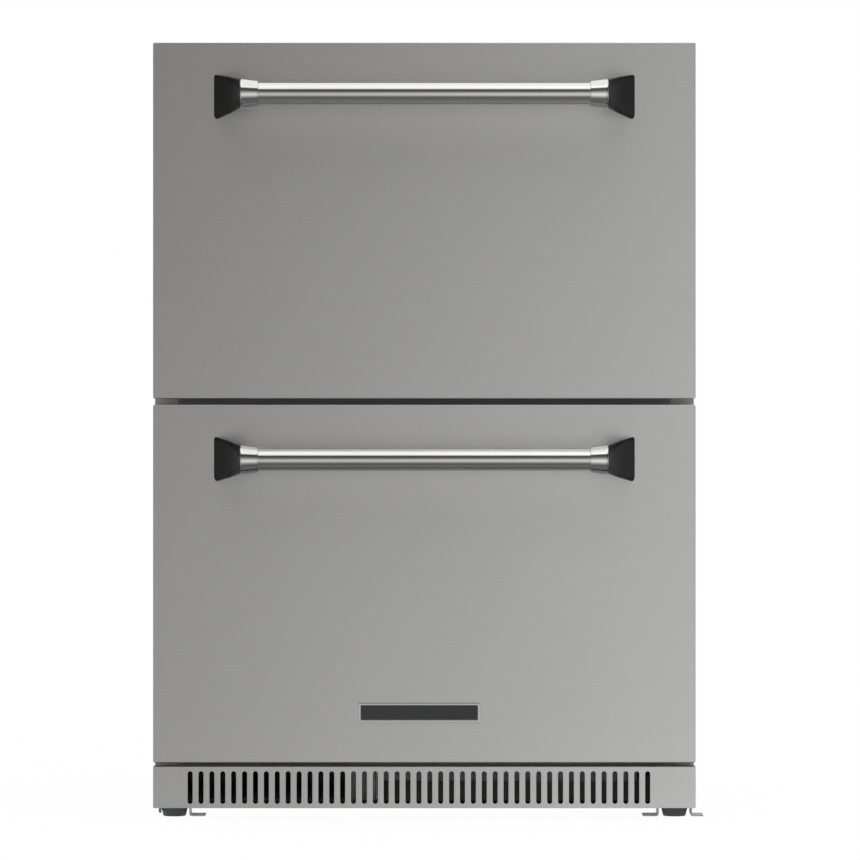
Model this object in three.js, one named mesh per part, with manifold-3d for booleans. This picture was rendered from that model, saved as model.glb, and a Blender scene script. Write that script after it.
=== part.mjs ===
// Under-counter refrigerator with two drawers, 24 in wide, for building in.
// Millimetres, +Z up. The origin is on the floor, under the middle of the
// cabinet: x = 0 is the cabinet's centre plane, -Y is the front.

import * as THREE from "three";
import { mergeVertices } from "three/addons/utils/BufferGeometryUtils.js";
import Module from "manifold-3d";

// ---------------------------------------------------------------- dimensions

// Overall
const FRONT_W = 606.8;         // drawer fronts and toe grille, across
const CAB_HALF = 303.8;        // outer face of a side panel from the centre
const Y_FRONT = -269;          // face of the drawer fronts and of the toe grille
const Y_FACE = -224;           // front face of the cabinet, where the gaskets seal
const Y_REAR = 339;            // rear edge of the side panels
const Z_BASE = 18;             // underside of the cabinet
const Z_TOP = 868;             // top of the cabinet
const SHEET = 1.2;             // steel sheet
const GAP = 0.3;               // between pieces that rest on each other

// Drawer fronts
const LOWER_FRONT = [65, 465];
const UPPER_FRONT = [472, 870];
const FRONT_DEPTH = 36;
const FRONT_SKIN = 1.0;
const FRONT_CORNER = 2;
const PLUG_Y = -213;           // back of the inner panel's raised plug
const PLUG_HALF = 254;
const PLUG_WALL = 2.5;
const GASKET_OUT = 290;
const GASKET_BAND = 15;

// Handles
const BAR_R = 12.5;
const BAR_STANDOFF = 55;       // bar axis in front of the drawer front
const BAR_HALF = 195;
const UPPER_BAR_Z = 809;
const LOWER_BAR_Z = 404;
const COLLAR_OUT = 203.6;      // wide end of the conical collar
const COLLAR_IN = 183.6;
const COLLAR_R_OUT = 17.15;
const COLLAR_R_IN = 14.65;
const SOCKET_R = 12.8;
const SOCKET_DEPTH = 13;
const POST_FOOT_OUT = 235.2;   // post's foot on the front, outer and inner edges
const POST_FOOT_IN = 207;
const POST_FOOT_HALF = 25.5;     // half-height of the foot's outer edge
const POST_FOOT_HALF_IN = 14.2;  // and of its inner edge

// Cabinet face
const FLANGE = 26.5;           // side panel's folded front flange
const FLANGE_RETURN = 12;
const MULLION = [446, 491];

// Liner: one moulded cavity, stepped over the machine compartment
const LINER_HALF = 258;
const LINER_WALL = 2.5;
const LINER_FLOOR = 102;
const LINER_TOP = 830;
const LINER_STEP_Y = 85;
const LINER_STEP_Z = 345;
const LINER_BACK = 285;
const LINER_FLANGE_HALF = 275.5;
const LINER_FACE = -222.5;

// Machine compartment and air duct
const DECK_Z = 64.4;
const BAY_Y = 128;
const BAY_TOP = 305;

// Tubs and slides
const TUB_HALF = 243.9;
const TUB_WALL = 2;
const TUB_RIM = 10;
const UPPER_TUB = { y: [-212.7, 208], z: [500, 775] };
const LOWER_TUB = { y: [-212.7, 70], z: [112, 400] };
const UPPER_SLIDE = { y: [-206, 244], z: 548 };
const LOWER_SLIDE = { y: [-206, 76], z: 165 };

// Toe grille
const GRILLE_Z = [14, 60.3];
const GRILLE_T = 1.5;
const SLOTS = 43;
const SLOT_PITCH = 12.18;
const SLOT_FIRST_X = -261.9;
const SLOT_W = 5.5;
const SLOT_Z = [18.9, 55.2];
const SILL_Z = 17.4;            // underside of the sill behind the slots

// Levelling legs and anti-tip brackets
const LEG_X = 283;
const LEG_Y_FRONT = -198.5;
const LEG_Y_REAR = 300;
const LEG_R_TOP = 15.9;
const LEG_R_BOTTOM = 13;
const LEG_H = 15;
const STEM_R = 4.8;
const STEM_TOP = 58;

// Fans
const COND_FAN = { y: 235, z: 158, r: 66, hole: 72 };
const EVAP_FAN = { x: 0, z: 730, r: 38, hole: 42 };

// ------------------------------------------------------------------- helpers

const wasm = await Module();
wasm.setup();
const { Manifold, Mesh: SolidMesh } = wasm;

// A closed triangle geometry as a solid: shared vertices merged, collapsed
// triangles at a lathe's poles dropped, faces turned outward.
function solid(geometry) {
  const g = geometry.clone();
  g.deleteAttribute("normal");
  g.deleteAttribute("uv");
  const m = mergeVertices(g, 1e-4);
  const p = m.attributes.position;
  let tris = [];
  for (let i = 0; i < m.index.count; i += 3) {
    const [a, b, c] = [m.index.getX(i), m.index.getX(i + 1), m.index.getX(i + 2)];
    if (a !== b && b !== c && c !== a) tris.push([a, b, c]);
  }
  const v = (i) => new THREE.Vector3().fromBufferAttribute(p, i);
  let volume = 0;
  for (const [a, b, c] of tris) volume += v(a).dot(v(b).clone().cross(v(c)));
  if (volume < 0) tris = tris.map(([a, b, c]) => [a, c, b]);
  return new Manifold(
    new SolidMesh({
      numProp: 3,
      vertProperties: new Float32Array(p.array),
      triVerts: new Uint32Array(tris.flat()),
    }),
  );
}

const join = (...parts) => parts.reduce((a, b) => a.add(b));
const cut = (whole, ...parts) => parts.reduce((a, b) => a.subtract(b), whole);

function geometryOf(body) {
  const m = body.getMesh();
  const g = new THREE.BufferGeometry();
  g.setAttribute("position", new THREE.BufferAttribute(new Float32Array(m.vertProperties), 3));
  g.setIndex(new THREE.BufferAttribute(new Uint32Array(m.triVerts), 1));
  const flat = g.toNonIndexed();
  flat.computeVertexNormals();
  return flat;
}

function box(x0, x1, y0, y1, z0, z1) {
  return solid(
    new THREE.BoxGeometry(x1 - x0, y1 - y0, z1 - z0).translate(
      (x0 + x1) / 2,
      (y0 + y1) / 2,
      (z0 + z1) / 2,
    ),
  );
}

// A flat outline pushed along an axis. In x the outline is (y, z), in y it is
// (x, z) and in z it is (x, y).
function prism(outline, axis, from, to, curveSegments = 4) {
  const shape = Array.isArray(outline)
    ? new THREE.Shape(outline.map(([u, v]) => new THREE.Vector2(u, v)))
    : outline;
  const g = new THREE.ExtrudeGeometry(shape, {
    depth: to - from,
    bevelEnabled: false,
    curveSegments,
  });
  const m = new THREE.Matrix4();
  if (axis === "x") m.set(0, 0, 1, from, 1, 0, 0, 0, 0, 1, 0, 0, 0, 0, 0, 1);
  if (axis === "y") m.set(1, 0, 0, 0, 0, 0, -1, to, 0, 1, 0, 0, 0, 0, 0, 1);
  if (axis === "z") m.makeTranslation(0, 0, from);
  return solid(g.applyMatrix4(m));
}

function roundedRect(u0, u1, v0, v1, r) {
  const s = new THREE.Shape();
  s.moveTo(u0 + r, v0);
  s.lineTo(u1 - r, v0);
  s.absarc(u1 - r, v0 + r, r, -Math.PI / 2, 0);
  s.lineTo(u1, v1 - r);
  s.absarc(u1 - r, v1 - r, r, 0, Math.PI / 2);
  s.lineTo(u0 + r, v1);
  s.absarc(u0 + r, v1 - r, r, Math.PI / 2, Math.PI);
  s.lineTo(u0, v0 + r);
  s.absarc(u0 + r, v0 + r, r, Math.PI, 1.5 * Math.PI);
  return s;
}

// A turned piece on a vertical axis: profile points are (radius, height).
function turned(profile, segments) {
  const points = profile.map(([r, h]) => new THREE.Vector2(r, h));
  return new THREE.LatheGeometry(points, segments).rotateX(Math.PI / 2);
}

// A round bar between two values on an axis.
function rod(axis, r, from, to, a, b, sides = 16) {
  const g = new THREE.CylinderGeometry(r, r, to - from, sides);
  const mid = (from + to) / 2;
  if (axis === "x") g.rotateZ(-Math.PI / 2).translate(mid, a, b);
  if (axis === "y") g.translate(a, mid, b);
  if (axis === "z") g.rotateX(Math.PI / 2).translate(a, b, mid);
  return solid(g);
}

// A tube along a smooth curve through points.
function tube(points, r, sides, steps, tension = 0.5) {
  const path = new THREE.CatmullRomCurve3(
    points.map((p) => new THREE.Vector3(...p)),
    false,
    "catmullrom",
    tension,
  );
  const ring = [];
  for (let i = 0; i < sides; i++) {
    const a = (2 * Math.PI * i) / sides;
    ring.push(new THREE.Vector2(r * Math.cos(a), r * Math.sin(a)));
  }
  return solid(
    new THREE.ExtrudeGeometry(new THREE.Shape(ring), {
      steps,
      extrudePath: path,
      bevelEnabled: false,
    }),
  );
}

const STEEL = { color: 0x9a9896, roughness: 0.34, metalness: 1 };
const CHROME = { color: 0xc9c9c9, roughness: 0.08, metalness: 1 };
const GALVANISED = { color: 0x8e9194, roughness: 0.45, metalness: 0.9 };
const DARK_METAL = { color: 0x2b2b2d, roughness: 0.5, metalness: 0.4 };
const BLACK_PLASTIC = { color: 0x1d1c20, roughness: 0.55, metalness: 0 };
const FOOT_PLASTIC = { color: 0x3f4446, roughness: 0.5, metalness: 0 };
const WHITE_PLASTIC = { color: 0xe6e8ea, roughness: 0.35, metalness: 0 };
const GASKET_GREY = { color: 0x3a3b3d, roughness: 0.6, metalness: 0 };
const FOAM = { color: 0xd8cf9a, roughness: 0.95, metalness: 0 };
const COPPER = { color: 0xb06a3b, roughness: 0.3, metalness: 1 };
const ALUMINIUM = { color: 0xb8babc, roughness: 0.4, metalness: 1 };
const LENS = { color: 0xf4f6f2, roughness: 0.3, metalness: 0 };

const fridge = new THREE.Group();
fridge.name = "under_counter_fridge";

function piece(name, body, look) {
  const mesh = new THREE.Mesh(geometryOf(body), new THREE.MeshStandardMaterial(look));
  mesh.name = name;
  fridge.add(mesh);
  return mesh;
}

const mirrorX = (body) => body.mirror([1, 0, 0]);

// ------------------------------------------------------------- outer cabinet

// A side panel: one sheet with a front flange and a short return behind it.
const sideOutline = [
  [-CAB_HALF, Y_FACE],
  [-CAB_HALF + FLANGE, Y_FACE],
  [-CAB_HALF + FLANGE, Y_FACE + FLANGE_RETURN],
  [-CAB_HALF + FLANGE - SHEET, Y_FACE + FLANGE_RETURN],
  [-CAB_HALF + FLANGE - SHEET, Y_FACE + SHEET],
  [-CAB_HALF + SHEET, Y_FACE + SHEET],
  [-CAB_HALF + SHEET, Y_REAR],
  [-CAB_HALF, Y_REAR],
];
const sidePanel = prism(sideOutline, "z", Z_BASE, Z_TOP - SHEET - GAP);
piece("side_panel_left", sidePanel, STEEL);
piece("side_panel_right", mirrorX(sidePanel), STEEL);

const FACE_HALF = CAB_HALF - FLANGE - GAP;      // between the two side flanges
const INNER_HALF = CAB_HALF - SHEET - 0.4;      // between the two side panels
const LIP_Y = Y_FACE + FLANGE_RETURN + 0.6;     // behind the flange returns

piece(
  "top_panel",
  join(
    box(-CAB_HALF, CAB_HALF, Y_FACE, Y_REAR, Z_TOP - SHEET, Z_TOP),
    box(-FACE_HALF, FACE_HALF, Y_FACE, Y_FACE + SHEET, 842, Z_TOP - SHEET / 2),
  ),
  STEEL,
);

piece("back_panel", box(-CAB_HALF, CAB_HALF, Y_REAR + 0.4, Y_REAR + 0.4 + SHEET, 320.3, Z_TOP), GALVANISED);

// The cover over the machine compartment: two banks of air slots and the
// cut-out for the mains inlet.
let rearCover = box(-CAB_HALF, CAB_HALF, Y_REAR + 0.4, Y_REAR + 0.4 + SHEET, 19.6, 320);
for (let row = 0; row < 9; row++) {
  const z = 160 + row * 15;
  rearCover = cut(
    rearCover,
    box(-255, -75, Y_REAR, Y_REAR + 3, z, z + 6),
    box(60, 240, Y_REAR, Y_REAR + 3, z, z + 6),
  );
}
rearCover = cut(rearCover, box(225.6, 272.4, Y_REAR, Y_REAR + 3, 41.6, 66.4));
piece("rear_machine_cover", rearCover, GALVANISED);

// Base pan with a welded nut over each leg.
const legPlaces = [
  ["front_left", -LEG_X, LEG_Y_FRONT],
  ["front_right", LEG_X, LEG_Y_FRONT],
  ["rear_left", -LEG_X, LEG_Y_REAR],
  ["rear_right", LEG_X, LEG_Y_REAR],
];
const panOutline = [
  [-FACE_HALF, Y_FACE + 2],
  [FACE_HALF, Y_FACE + 2],
  [FACE_HALF, LIP_Y],
  [INNER_HALF, LIP_Y],
  [INNER_HALF, Y_REAR],
  [-INNER_HALF, Y_REAR],
  [-INNER_HALF, LIP_Y],
  [-FACE_HALF, LIP_Y],
];
let basePan = prism(panOutline, "z", Z_BASE, Z_BASE + SHEET);
for (const [, x, y] of legPlaces) {
  basePan = join(basePan, rod("z", 10.5, Z_BASE + SHEET / 2, 31, x, y, 6));
  basePan = cut(basePan, rod("z", STEM_R + 0.5, Z_BASE - 5, 40, x, y, 12));
}
piece("base_pan", basePan, GALVANISED);

// The deck is one folded sheet: ceiling of the air duct, front wall and roof
// of the machine compartment. Its front edge is folded up as the cabinet's
// lower rail, and a lip hangs down over the right half of the duct's mouth.
const deckOutline = [
  [-FACE_HALF, Y_FACE + SHEET / 2],
  [FACE_HALF, Y_FACE + SHEET / 2],
  [FACE_HALF, LIP_Y],
  [INNER_HALF, LIP_Y],
  [INNER_HALF, BAY_Y],
  [-INNER_HALF, BAY_Y],
  [-INNER_HALF, LIP_Y],
  [-FACE_HALF, LIP_Y],
];
piece(
  "base_deck",
  join(
    prism(deckOutline, "z", DECK_Z, DECK_Z + SHEET),
    box(-FACE_HALF, FACE_HALF, Y_FACE, Y_FACE + SHEET, GRILLE_Z[1] + 0.5, 98),
    box(-50, 240, Y_FACE + 1, Y_FACE + 1 + SHEET, 41.2, DECK_Z + SHEET / 2),
    box(-INNER_HALF, INNER_HALF, BAY_Y - SHEET / 2, BAY_Y + SHEET / 2, DECK_Z, BAY_TOP + SHEET),
    box(-INNER_HALF, INNER_HALF, BAY_Y - SHEET / 2, Y_REAR, BAY_TOP, BAY_TOP + SHEET),
  ),
  GALVANISED,
);

// ------------------------------------------------------ liner and insulation

const linerInside = [
  [LINER_FACE - 5, LINER_FLOOR],
  [LINER_STEP_Y, LINER_FLOOR],
  [LINER_STEP_Y, LINER_STEP_Z],
  [LINER_BACK, LINER_STEP_Z],
  [LINER_BACK, LINER_TOP],
  [LINER_FACE - 5, LINER_TOP],
];
const w = LINER_WALL;
const linerOutside = (e) => [
  [LINER_FACE, LINER_FLOOR - w - e],
  [LINER_STEP_Y + w + e, LINER_FLOOR - w - e],
  [LINER_STEP_Y + w + e, LINER_STEP_Z - w - e],
  [LINER_BACK + w + e, LINER_STEP_Z - w - e],
  [LINER_BACK + w + e, LINER_TOP + w + e],
  [LINER_FACE, LINER_TOP + w + e],
];
piece(
  "liner",
  cut(
    join(
      prism(linerOutside(0), "x", -LINER_HALF - w, LINER_HALF + w),
      box(-LINER_FLANGE_HALF, LINER_FLANGE_HALF, LINER_FACE, LINER_FACE + w, 98.4, 841.6),
    ),
    prism(linerInside, "x", -LINER_HALF, LINER_HALF),
  ),
  WHITE_PLASTIC,
);

const foamOutside = [
  [LIP_Y, DECK_Z + SHEET + 0.4],
  [BAY_Y - 1, DECK_Z + SHEET + 0.4],
  [BAY_Y - 1, BAY_TOP + SHEET + 0.4],
  [Y_REAR, BAY_TOP + SHEET + 0.4],
  [Y_REAR, Z_TOP - SHEET - 0.4],
  [LIP_Y, Z_TOP - SHEET - 0.4],
];
piece(
  "insulation_foam",
  cut(
    prism(foamOutside, "x", -INNER_HALF, INNER_HALF),
    prism(linerOutside(0.4), "x", -LINER_HALF - w - 0.4, LINER_HALF + w + 0.4),
  ),
  FOAM,
);

piece(
  "mullion_bar",
  join(
    box(-FACE_HALF, FACE_HALF, Y_FACE, Y_FACE + SHEET, MULLION[0], MULLION[1]),
    box(-LINER_HALF + 0.4, LINER_HALF - 0.4, Y_FACE + SHEET / 2, -197, MULLION[0] + 1, MULLION[1] - 1),
  ),
  BLACK_PLASTIC,
);

// --------------------------------------------------------------- toe grille

const grilleShape = roundedRect(-FRONT_W / 2, FRONT_W / 2, GRILLE_Z[0], GRILLE_Z[1], 1.5);
for (let i = 0; i < SLOTS; i++) {
  const x = SLOT_FIRST_X + i * SLOT_PITCH;
  const r = SLOT_W / 2;
  const hole = new THREE.Path();
  hole.moveTo(x - r, SLOT_Z[0] + r);
  hole.absarc(x, SLOT_Z[0] + r, r, Math.PI, 2 * Math.PI);
  hole.lineTo(x + r, SLOT_Z[1] - r);
  hole.absarc(x, SLOT_Z[1] - r, r, 0, Math.PI);
  grilleShape.holes.push(hole);
}
piece("toe_grille", prism(grilleShape, "y", Y_FRONT, Y_FRONT + GRILLE_T, 2), STEEL);

// The grille's carrier: a frame that stands off the cabinet face, with a sill
// behind the lower ends of the slots.
const gw = FRONT_W / 2;
const frameY = [Y_FRONT + GRILLE_T + GAP, Y_FACE - GAP];
piece(
  "grille_frame",
  join(
    prism(
      [
        [-gw, GRILLE_Z[0]],
        [-gw + SHEET, GRILLE_Z[0]],
        [-gw + SHEET, GRILLE_Z[1] - SHEET],
        [gw - SHEET, GRILLE_Z[1] - SHEET],
        [gw - SHEET, GRILLE_Z[0]],
        [gw, GRILLE_Z[0]],
        [gw, GRILLE_Z[1]],
        [-gw, GRILLE_Z[1]],
      ],
      "y",
      ...frameY,
    ),
    box(-gw + SHEET / 2, gw - SHEET / 2, ...frameY, SILL_Z, SILL_Z + SHEET),
  ),
  STEEL,
);

// A bent plate that parts the cold intake air from the warm exhaust, with a
// hemmed front corner.
const dividerZ = [Z_BASE + SHEET + 0.4, DECK_Z - 0.4];
piece(
  "air_divider",
  join(
    prism(
      [
        [-86, -206],
        [-53.8, -206],
        [-53.8, 126.8],
        [-55, 126.8],
        [-55, -204.8],
        [-86, -204.8],
      ],
      "z",
      ...dividerZ,
    ),
    box(-57.1, -56.3, -209, -205.5, ...dividerZ),
    box(-54.6, -53.8, -209, -205.5, ...dividerZ),
  ),
  GALVANISED,
);

// ------------------------------------------------- legs and anti-tip brackets

const legProfile = [
  [0, 0],
  [LEG_R_BOTTOM - 0.9, 0],
  [LEG_R_BOTTOM, 1.2],
  [LEG_R_TOP, LEG_H - 2],
  [LEG_R_TOP - 1.4, LEG_H],
  [STEM_R, LEG_H],
  [STEM_R, STEM_TOP - 1.5],
  [STEM_R - 1.2, STEM_TOP],
  [0, STEM_TOP],
];
for (const [place, x, y] of legPlaces) {
  piece(`levelling_leg_${place}`, solid(turned(legProfile, 16).translate(x, y, 0)), FOOT_PLASTIC);
}

// Strap brackets that hook over the front legs and lie on the floor.
const BRACKET_Y = [-207, -177];
const stemSlot = (x) =>
  join(
    rod("z", STEM_R + 0.7, 14, 19, x, LEG_Y_FRONT, 12),
    box(x - STEM_R - 0.7, x + STEM_R + 0.7, LEG_Y_FRONT, BRACKET_Y[1] + 1, 14, 19),
  );
piece(
  "anti_tip_bracket_right",
  cut(
    prism(
      [
        [247, 0],
        [265.5, 0],
        [265.5, 15.5],
        [300.5, 15.5],
        [300.5, 0],
        [315.4, 0],
        [315.4, 1.8],
        [303, 1.8],
        [303, 17.2],
        [263, 17.2],
        [263, 1.8],
        [247, 1.8],
      ],
      "y",
      ...BRACKET_Y,
    ),
    stemSlot(LEG_X),
  ),
  GALVANISED,
);
piece(
  "anti_tip_bracket_left",
  cut(
    prism(
      [
        [-300.4, 4.2],
        [-299.2, 4.2],
        [-299.2, 15.5],
        [-266.5, 15.5],
        [-266.5, 0],
        [-248, 0],
        [-248, 1.8],
        [-264, 1.8],
        [-264, 17.2],
        [-300.4, 17.2],
      ],
      "y",
      ...BRACKET_Y,
    ),
    stemSlot(-LEG_X),
  ),
  GALVANISED,
);

// --------------------------------------------------------- machine compartment

// Hermetic compressor: welded pot on a foot plate with four pads.
const COMP = [40, 240];
const pot = solid(
  turned(
    [
      [0, 34],
      [56, 34],
      [60, 44],
      [60, 118],
      [62, 120],
      [62, 126],
      [60, 128],
      [58, 168],
      [44, 190],
      [20, 198],
      [0, 199],
    ],
    18,
  ).translate(COMP[0], COMP[1], 0),
);
let compressor = join(pot, box(COMP[0] - 85, COMP[0] + 85, COMP[1] - 62, COMP[1] + 62, 32, 35));
for (const sx of [-1, 1]) {
  for (const sy of [-1, 1]) {
    compressor = join(compressor, rod("z", 9, 19.6, 34, COMP[0] + sx * 72, COMP[1] + sy * 50, 10));
  }
}
// Terminal box on the pot's side.
compressor = join(compressor, prism(roundedRect(212, 268, 84, 146, 5), "x", 90, 126, 2));
piece("compressor", compressor, DARK_METAL);

// Tube-and-fin condenser: six passes, joined by return bends.
function finnedCoil({ passes, zs, y0, y1, x, r, finAt, fin, axis }) {
  // Built with the passes along Y, then turned so that they run along X.
  let body = null;
  const addTo = (s) => {
    body = body ? join(body, s) : s;
  };
  for (let i = 0; i < passes; i++) {
    addTo(rod("y", r, y0, y1, x, zs(i), 6));
    if (i + 1 < passes) {
      const end = i % 2 === 0 ? y1 : y0;
      const out = i % 2 === 0 ? 1 : -1;
      const zm = (zs(i) + zs(i + 1)) / 2;
      const rad = Math.abs(zs(i + 1) - zs(i)) / 2;
      const bend = [];
      for (let k = 0; k <= 4; k++) {
        const a = -Math.PI / 2 + (Math.PI * k) / 4;
        bend.push([x, end - out * 1 + out * rad * Math.cos(a), zm + rad * Math.sin(a)]);
      }
      addTo(tube(bend, r, 6, 4));
    }
  }
  for (const y of finAt) addTo(box(x - fin[0], x + fin[0], y - 0.5, y + 0.5, fin[1], fin[2]));
  return axis === "x" ? body.rotate([0, 0, -90]) : body;
}
piece(
  "condenser_coil",
  finnedCoil({
    passes: 6,
    zs: (i) => 54 + i * 40,
    y0: 165,
    y1: 300,
    x: -200,
    r: 4.5,
    finAt: [178, 206, 234, 262, 288],
    fin: [24, 34, 274],
    axis: "y",
  }),
  DARK_METAL,
);

// Fan shroud with the motor on a strut behind the blades.
const cf = COND_FAN;
piece(
  "condenser_fan_shroud",
  join(
    cut(
      box(-160, -158.5, 134, 334, 20, 284),
      rod("x", cf.hole, -165, -150, cf.y, cf.z, 24),
    ),
    box(-159, -110, cf.y - 84, cf.y - 80, cf.z - 8, cf.z + 8),
    box(-159, -110, cf.y + 80, cf.y + 84, cf.z - 8, cf.z + 8),
    box(-112, -109.6, cf.y - 84, cf.y + 84, cf.z - 8, cf.z + 8),
    rod("x", 22, -110, -80, cf.y, cf.z, 16),
  ),
  BLACK_PLASTIC,
);

// Fan rotor about the X axis, hub at the origin.
function rotor({ hub, length, r, chord, thick, pitch, blades, shaft }) {
  let body = rod("x", hub, 0, length, 0, 0, 14);
  for (let i = 0; i < blades; i++) {
    const blade = new THREE.BoxGeometry(thick, chord, r - hub + 3);
    blade.rotateZ(pitch);
    blade.translate(length / 2, 0, (r + hub - 3) / 2);
    blade.rotateX((2 * Math.PI * i) / blades);
    body = join(body, solid(blade));
  }
  return join(body, rod("x", shaft, length - 1, length + 5.4, 0, 0, 8));
}
piece(
  "condenser_fan_blade",
  rotor({ hub: 17, length: 24, r: cf.r, chord: 34, thick: 2, pitch: 0.62, blades: 5, shaft: 3 }).translate([
    -142,
    cf.y,
    cf.z,
  ]),
  BLACK_PLASTIC,
);

// Condensate tray.
piece(
  "drain_pan",
  cut(box(150, 265, 150, 308, 20, 52), box(152, 263, 152, 306, 22, 60)),
  BLACK_PLASTIC,
);

// Discharge line: compressor to the condenser's top pass, over the shroud.
piece(
  "discharge_line",
  tube(
    [
      [-10, 196, 176],
      [-16, 186, 214],
      [-30, 172, 262],
      [-52, 158, 289],
      [-95, 150, 294],
      [-150, 150, 294],
      [-190, 150, 292],
      [-201, 151, 284],
      [-201, 153, 266],
    ],
    3.2,
    8,
    22,
  ),
  COPPER,
);

// Mains inlet: a panel socket with three blades in its recess.
piece(
  "power_inlet",
  join(
    cut(
      join(
        box(226, 272, 316, 341.6, 42, 66),
        box(220, 278, Y_REAR + 2, 342, 37, 71),
      ),
      box(230, 268, 324, 350, 45, 63),
    ),
    box(238, 242, 323, 338, 50, 52.4),
    box(256, 260, 323, 338, 50, 52.4),
    box(247, 251, 323, 338, 56, 58.4),
  ),
  BLACK_PLASTIC,
);

// ------------------------------------------------------------ inside fittings

// Evaporator: its coil and fan stand under a cover on the upper back wall.
piece(
  "evaporator_coil",
  finnedCoil({
    passes: 4,
    zs: (i) => 520 + i * 40,
    y0: -150,
    y1: 150,
    x: -258,
    r: 4.5,
    finAt: [-135, -68, 0, 68, 135],
    fin: [16, 502, 658],
    axis: "x",
  }),
  ALUMINIUM,
);
const ef = EVAP_FAN;
let evapCover = cut(
  join(box(-185, 185, 226, 284.6, 480, 806)),
  box(-183, 183, 228, 290, 482, 804),
);
evapCover = cut(evapCover, rod("y", ef.hole, 220, 232, ef.x, ef.z, 24));
for (let i = 0; i < 6; i++) evapCover = cut(evapCover, box(-140, 140, 220, 232, 494 + i * 13, 500 + i * 13));
evapCover = join(
  evapCover,
  box(-44, 44, 226, 228, ef.z - 2, ef.z + 2),
  box(-2, 2, 226, 228, ef.z - 44, ef.z + 44),
  box(-184, 184, 263, 266, ef.z - 7, ef.z + 7),
  rod("y", 15, 256, 276, ef.x, ef.z, 14),
);
piece("evaporator_cover", evapCover, WHITE_PLASTIC);
piece(
  "evaporator_fan_blade",
  rotor({ hub: 11, length: 15, r: ef.r, chord: 20, thick: 1.6, pitch: 0.62, blades: 5, shaft: 2 })
    .rotate([0, 0, 90])
    .translate([ef.x, 235, ef.z]),
  BLACK_PLASTIC,
);

// Control housing under the liner's ceiling, with two press buttons.
const CONTROL_FACE = -200;
const BUTTONS = [
  ["control_button_power", -46],
  ["control_button_set", 46],
];
let control = prism(
  [
    [CONTROL_FACE, 808],
    [CONTROL_FACE + 4, 804],
    [-150, 804],
    [-142, 812],
    [-142, LINER_TOP - GAP],
    [CONTROL_FACE, LINER_TOP - GAP],
  ],
  "x",
  -84,
  84,
);
for (const [, x] of BUTTONS) control = cut(control, rod("y", 7, CONTROL_FACE - 2, CONTROL_FACE + 8, x, 818, 16));
piece("control_housing", control, BLACK_PLASTIC);
for (const [name, x] of BUTTONS) {
  piece(name, rod("y", 6.6, CONTROL_FACE - 2.4, CONTROL_FACE + 5, x, 818, 16), WHITE_PLASTIC);
}

// Lamp lens along the ceiling.
piece(
  "lamp_lens",
  prism(
    [
      [-126, LINER_TOP - GAP],
      [-125, 824],
      [-120, 821.5],
      [-110, 821.5],
      [-105, 824],
      [-104, LINER_TOP - GAP],
    ],
    "x",
    -150,
    150,
  ),
  LENS,
);

// -------------------------------------------------------- telescoping slides

// Three nested channels on each side: the outer one on the liner, the inner
// one on the tub, the middle one between them.
function channel(xWeb, xTip, half, t, y, z) {
  const s = Math.sign(xTip - xWeb);
  return prism(
    [
      [xWeb, z - half],
      [xTip, z - half],
      [xTip, z - half + t],
      [xWeb + s * t, z - half + t],
      [xWeb + s * t, z + half - t],
      [xTip, z + half - t],
      [xTip, z + half],
      [xWeb, z + half],
    ],
    "y",
    ...y,
  );
}
function slides(level, { y, z }) {
  const outer = channel(257.7, 247.2, 22.5, SHEET, y, z);
  const middle = channel(253.6, 246.4, 20, SHEET, [y[0] + 4, y[1] - 6], z);
  const inner = channel(244.2, 250.6, 17.4, SHEET, [y[0], y[1] - 12], z);
  for (const [member, body] of [["outer", outer], ["middle", middle], ["inner", inner]]) {
    piece(`${level}_slide_${member}_right`, body, GALVANISED);
    piece(`${level}_slide_${member}_left`, mirrorX(body), GALVANISED);
  }
}

// ------------------------------------------------------------------- drawers

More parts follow.
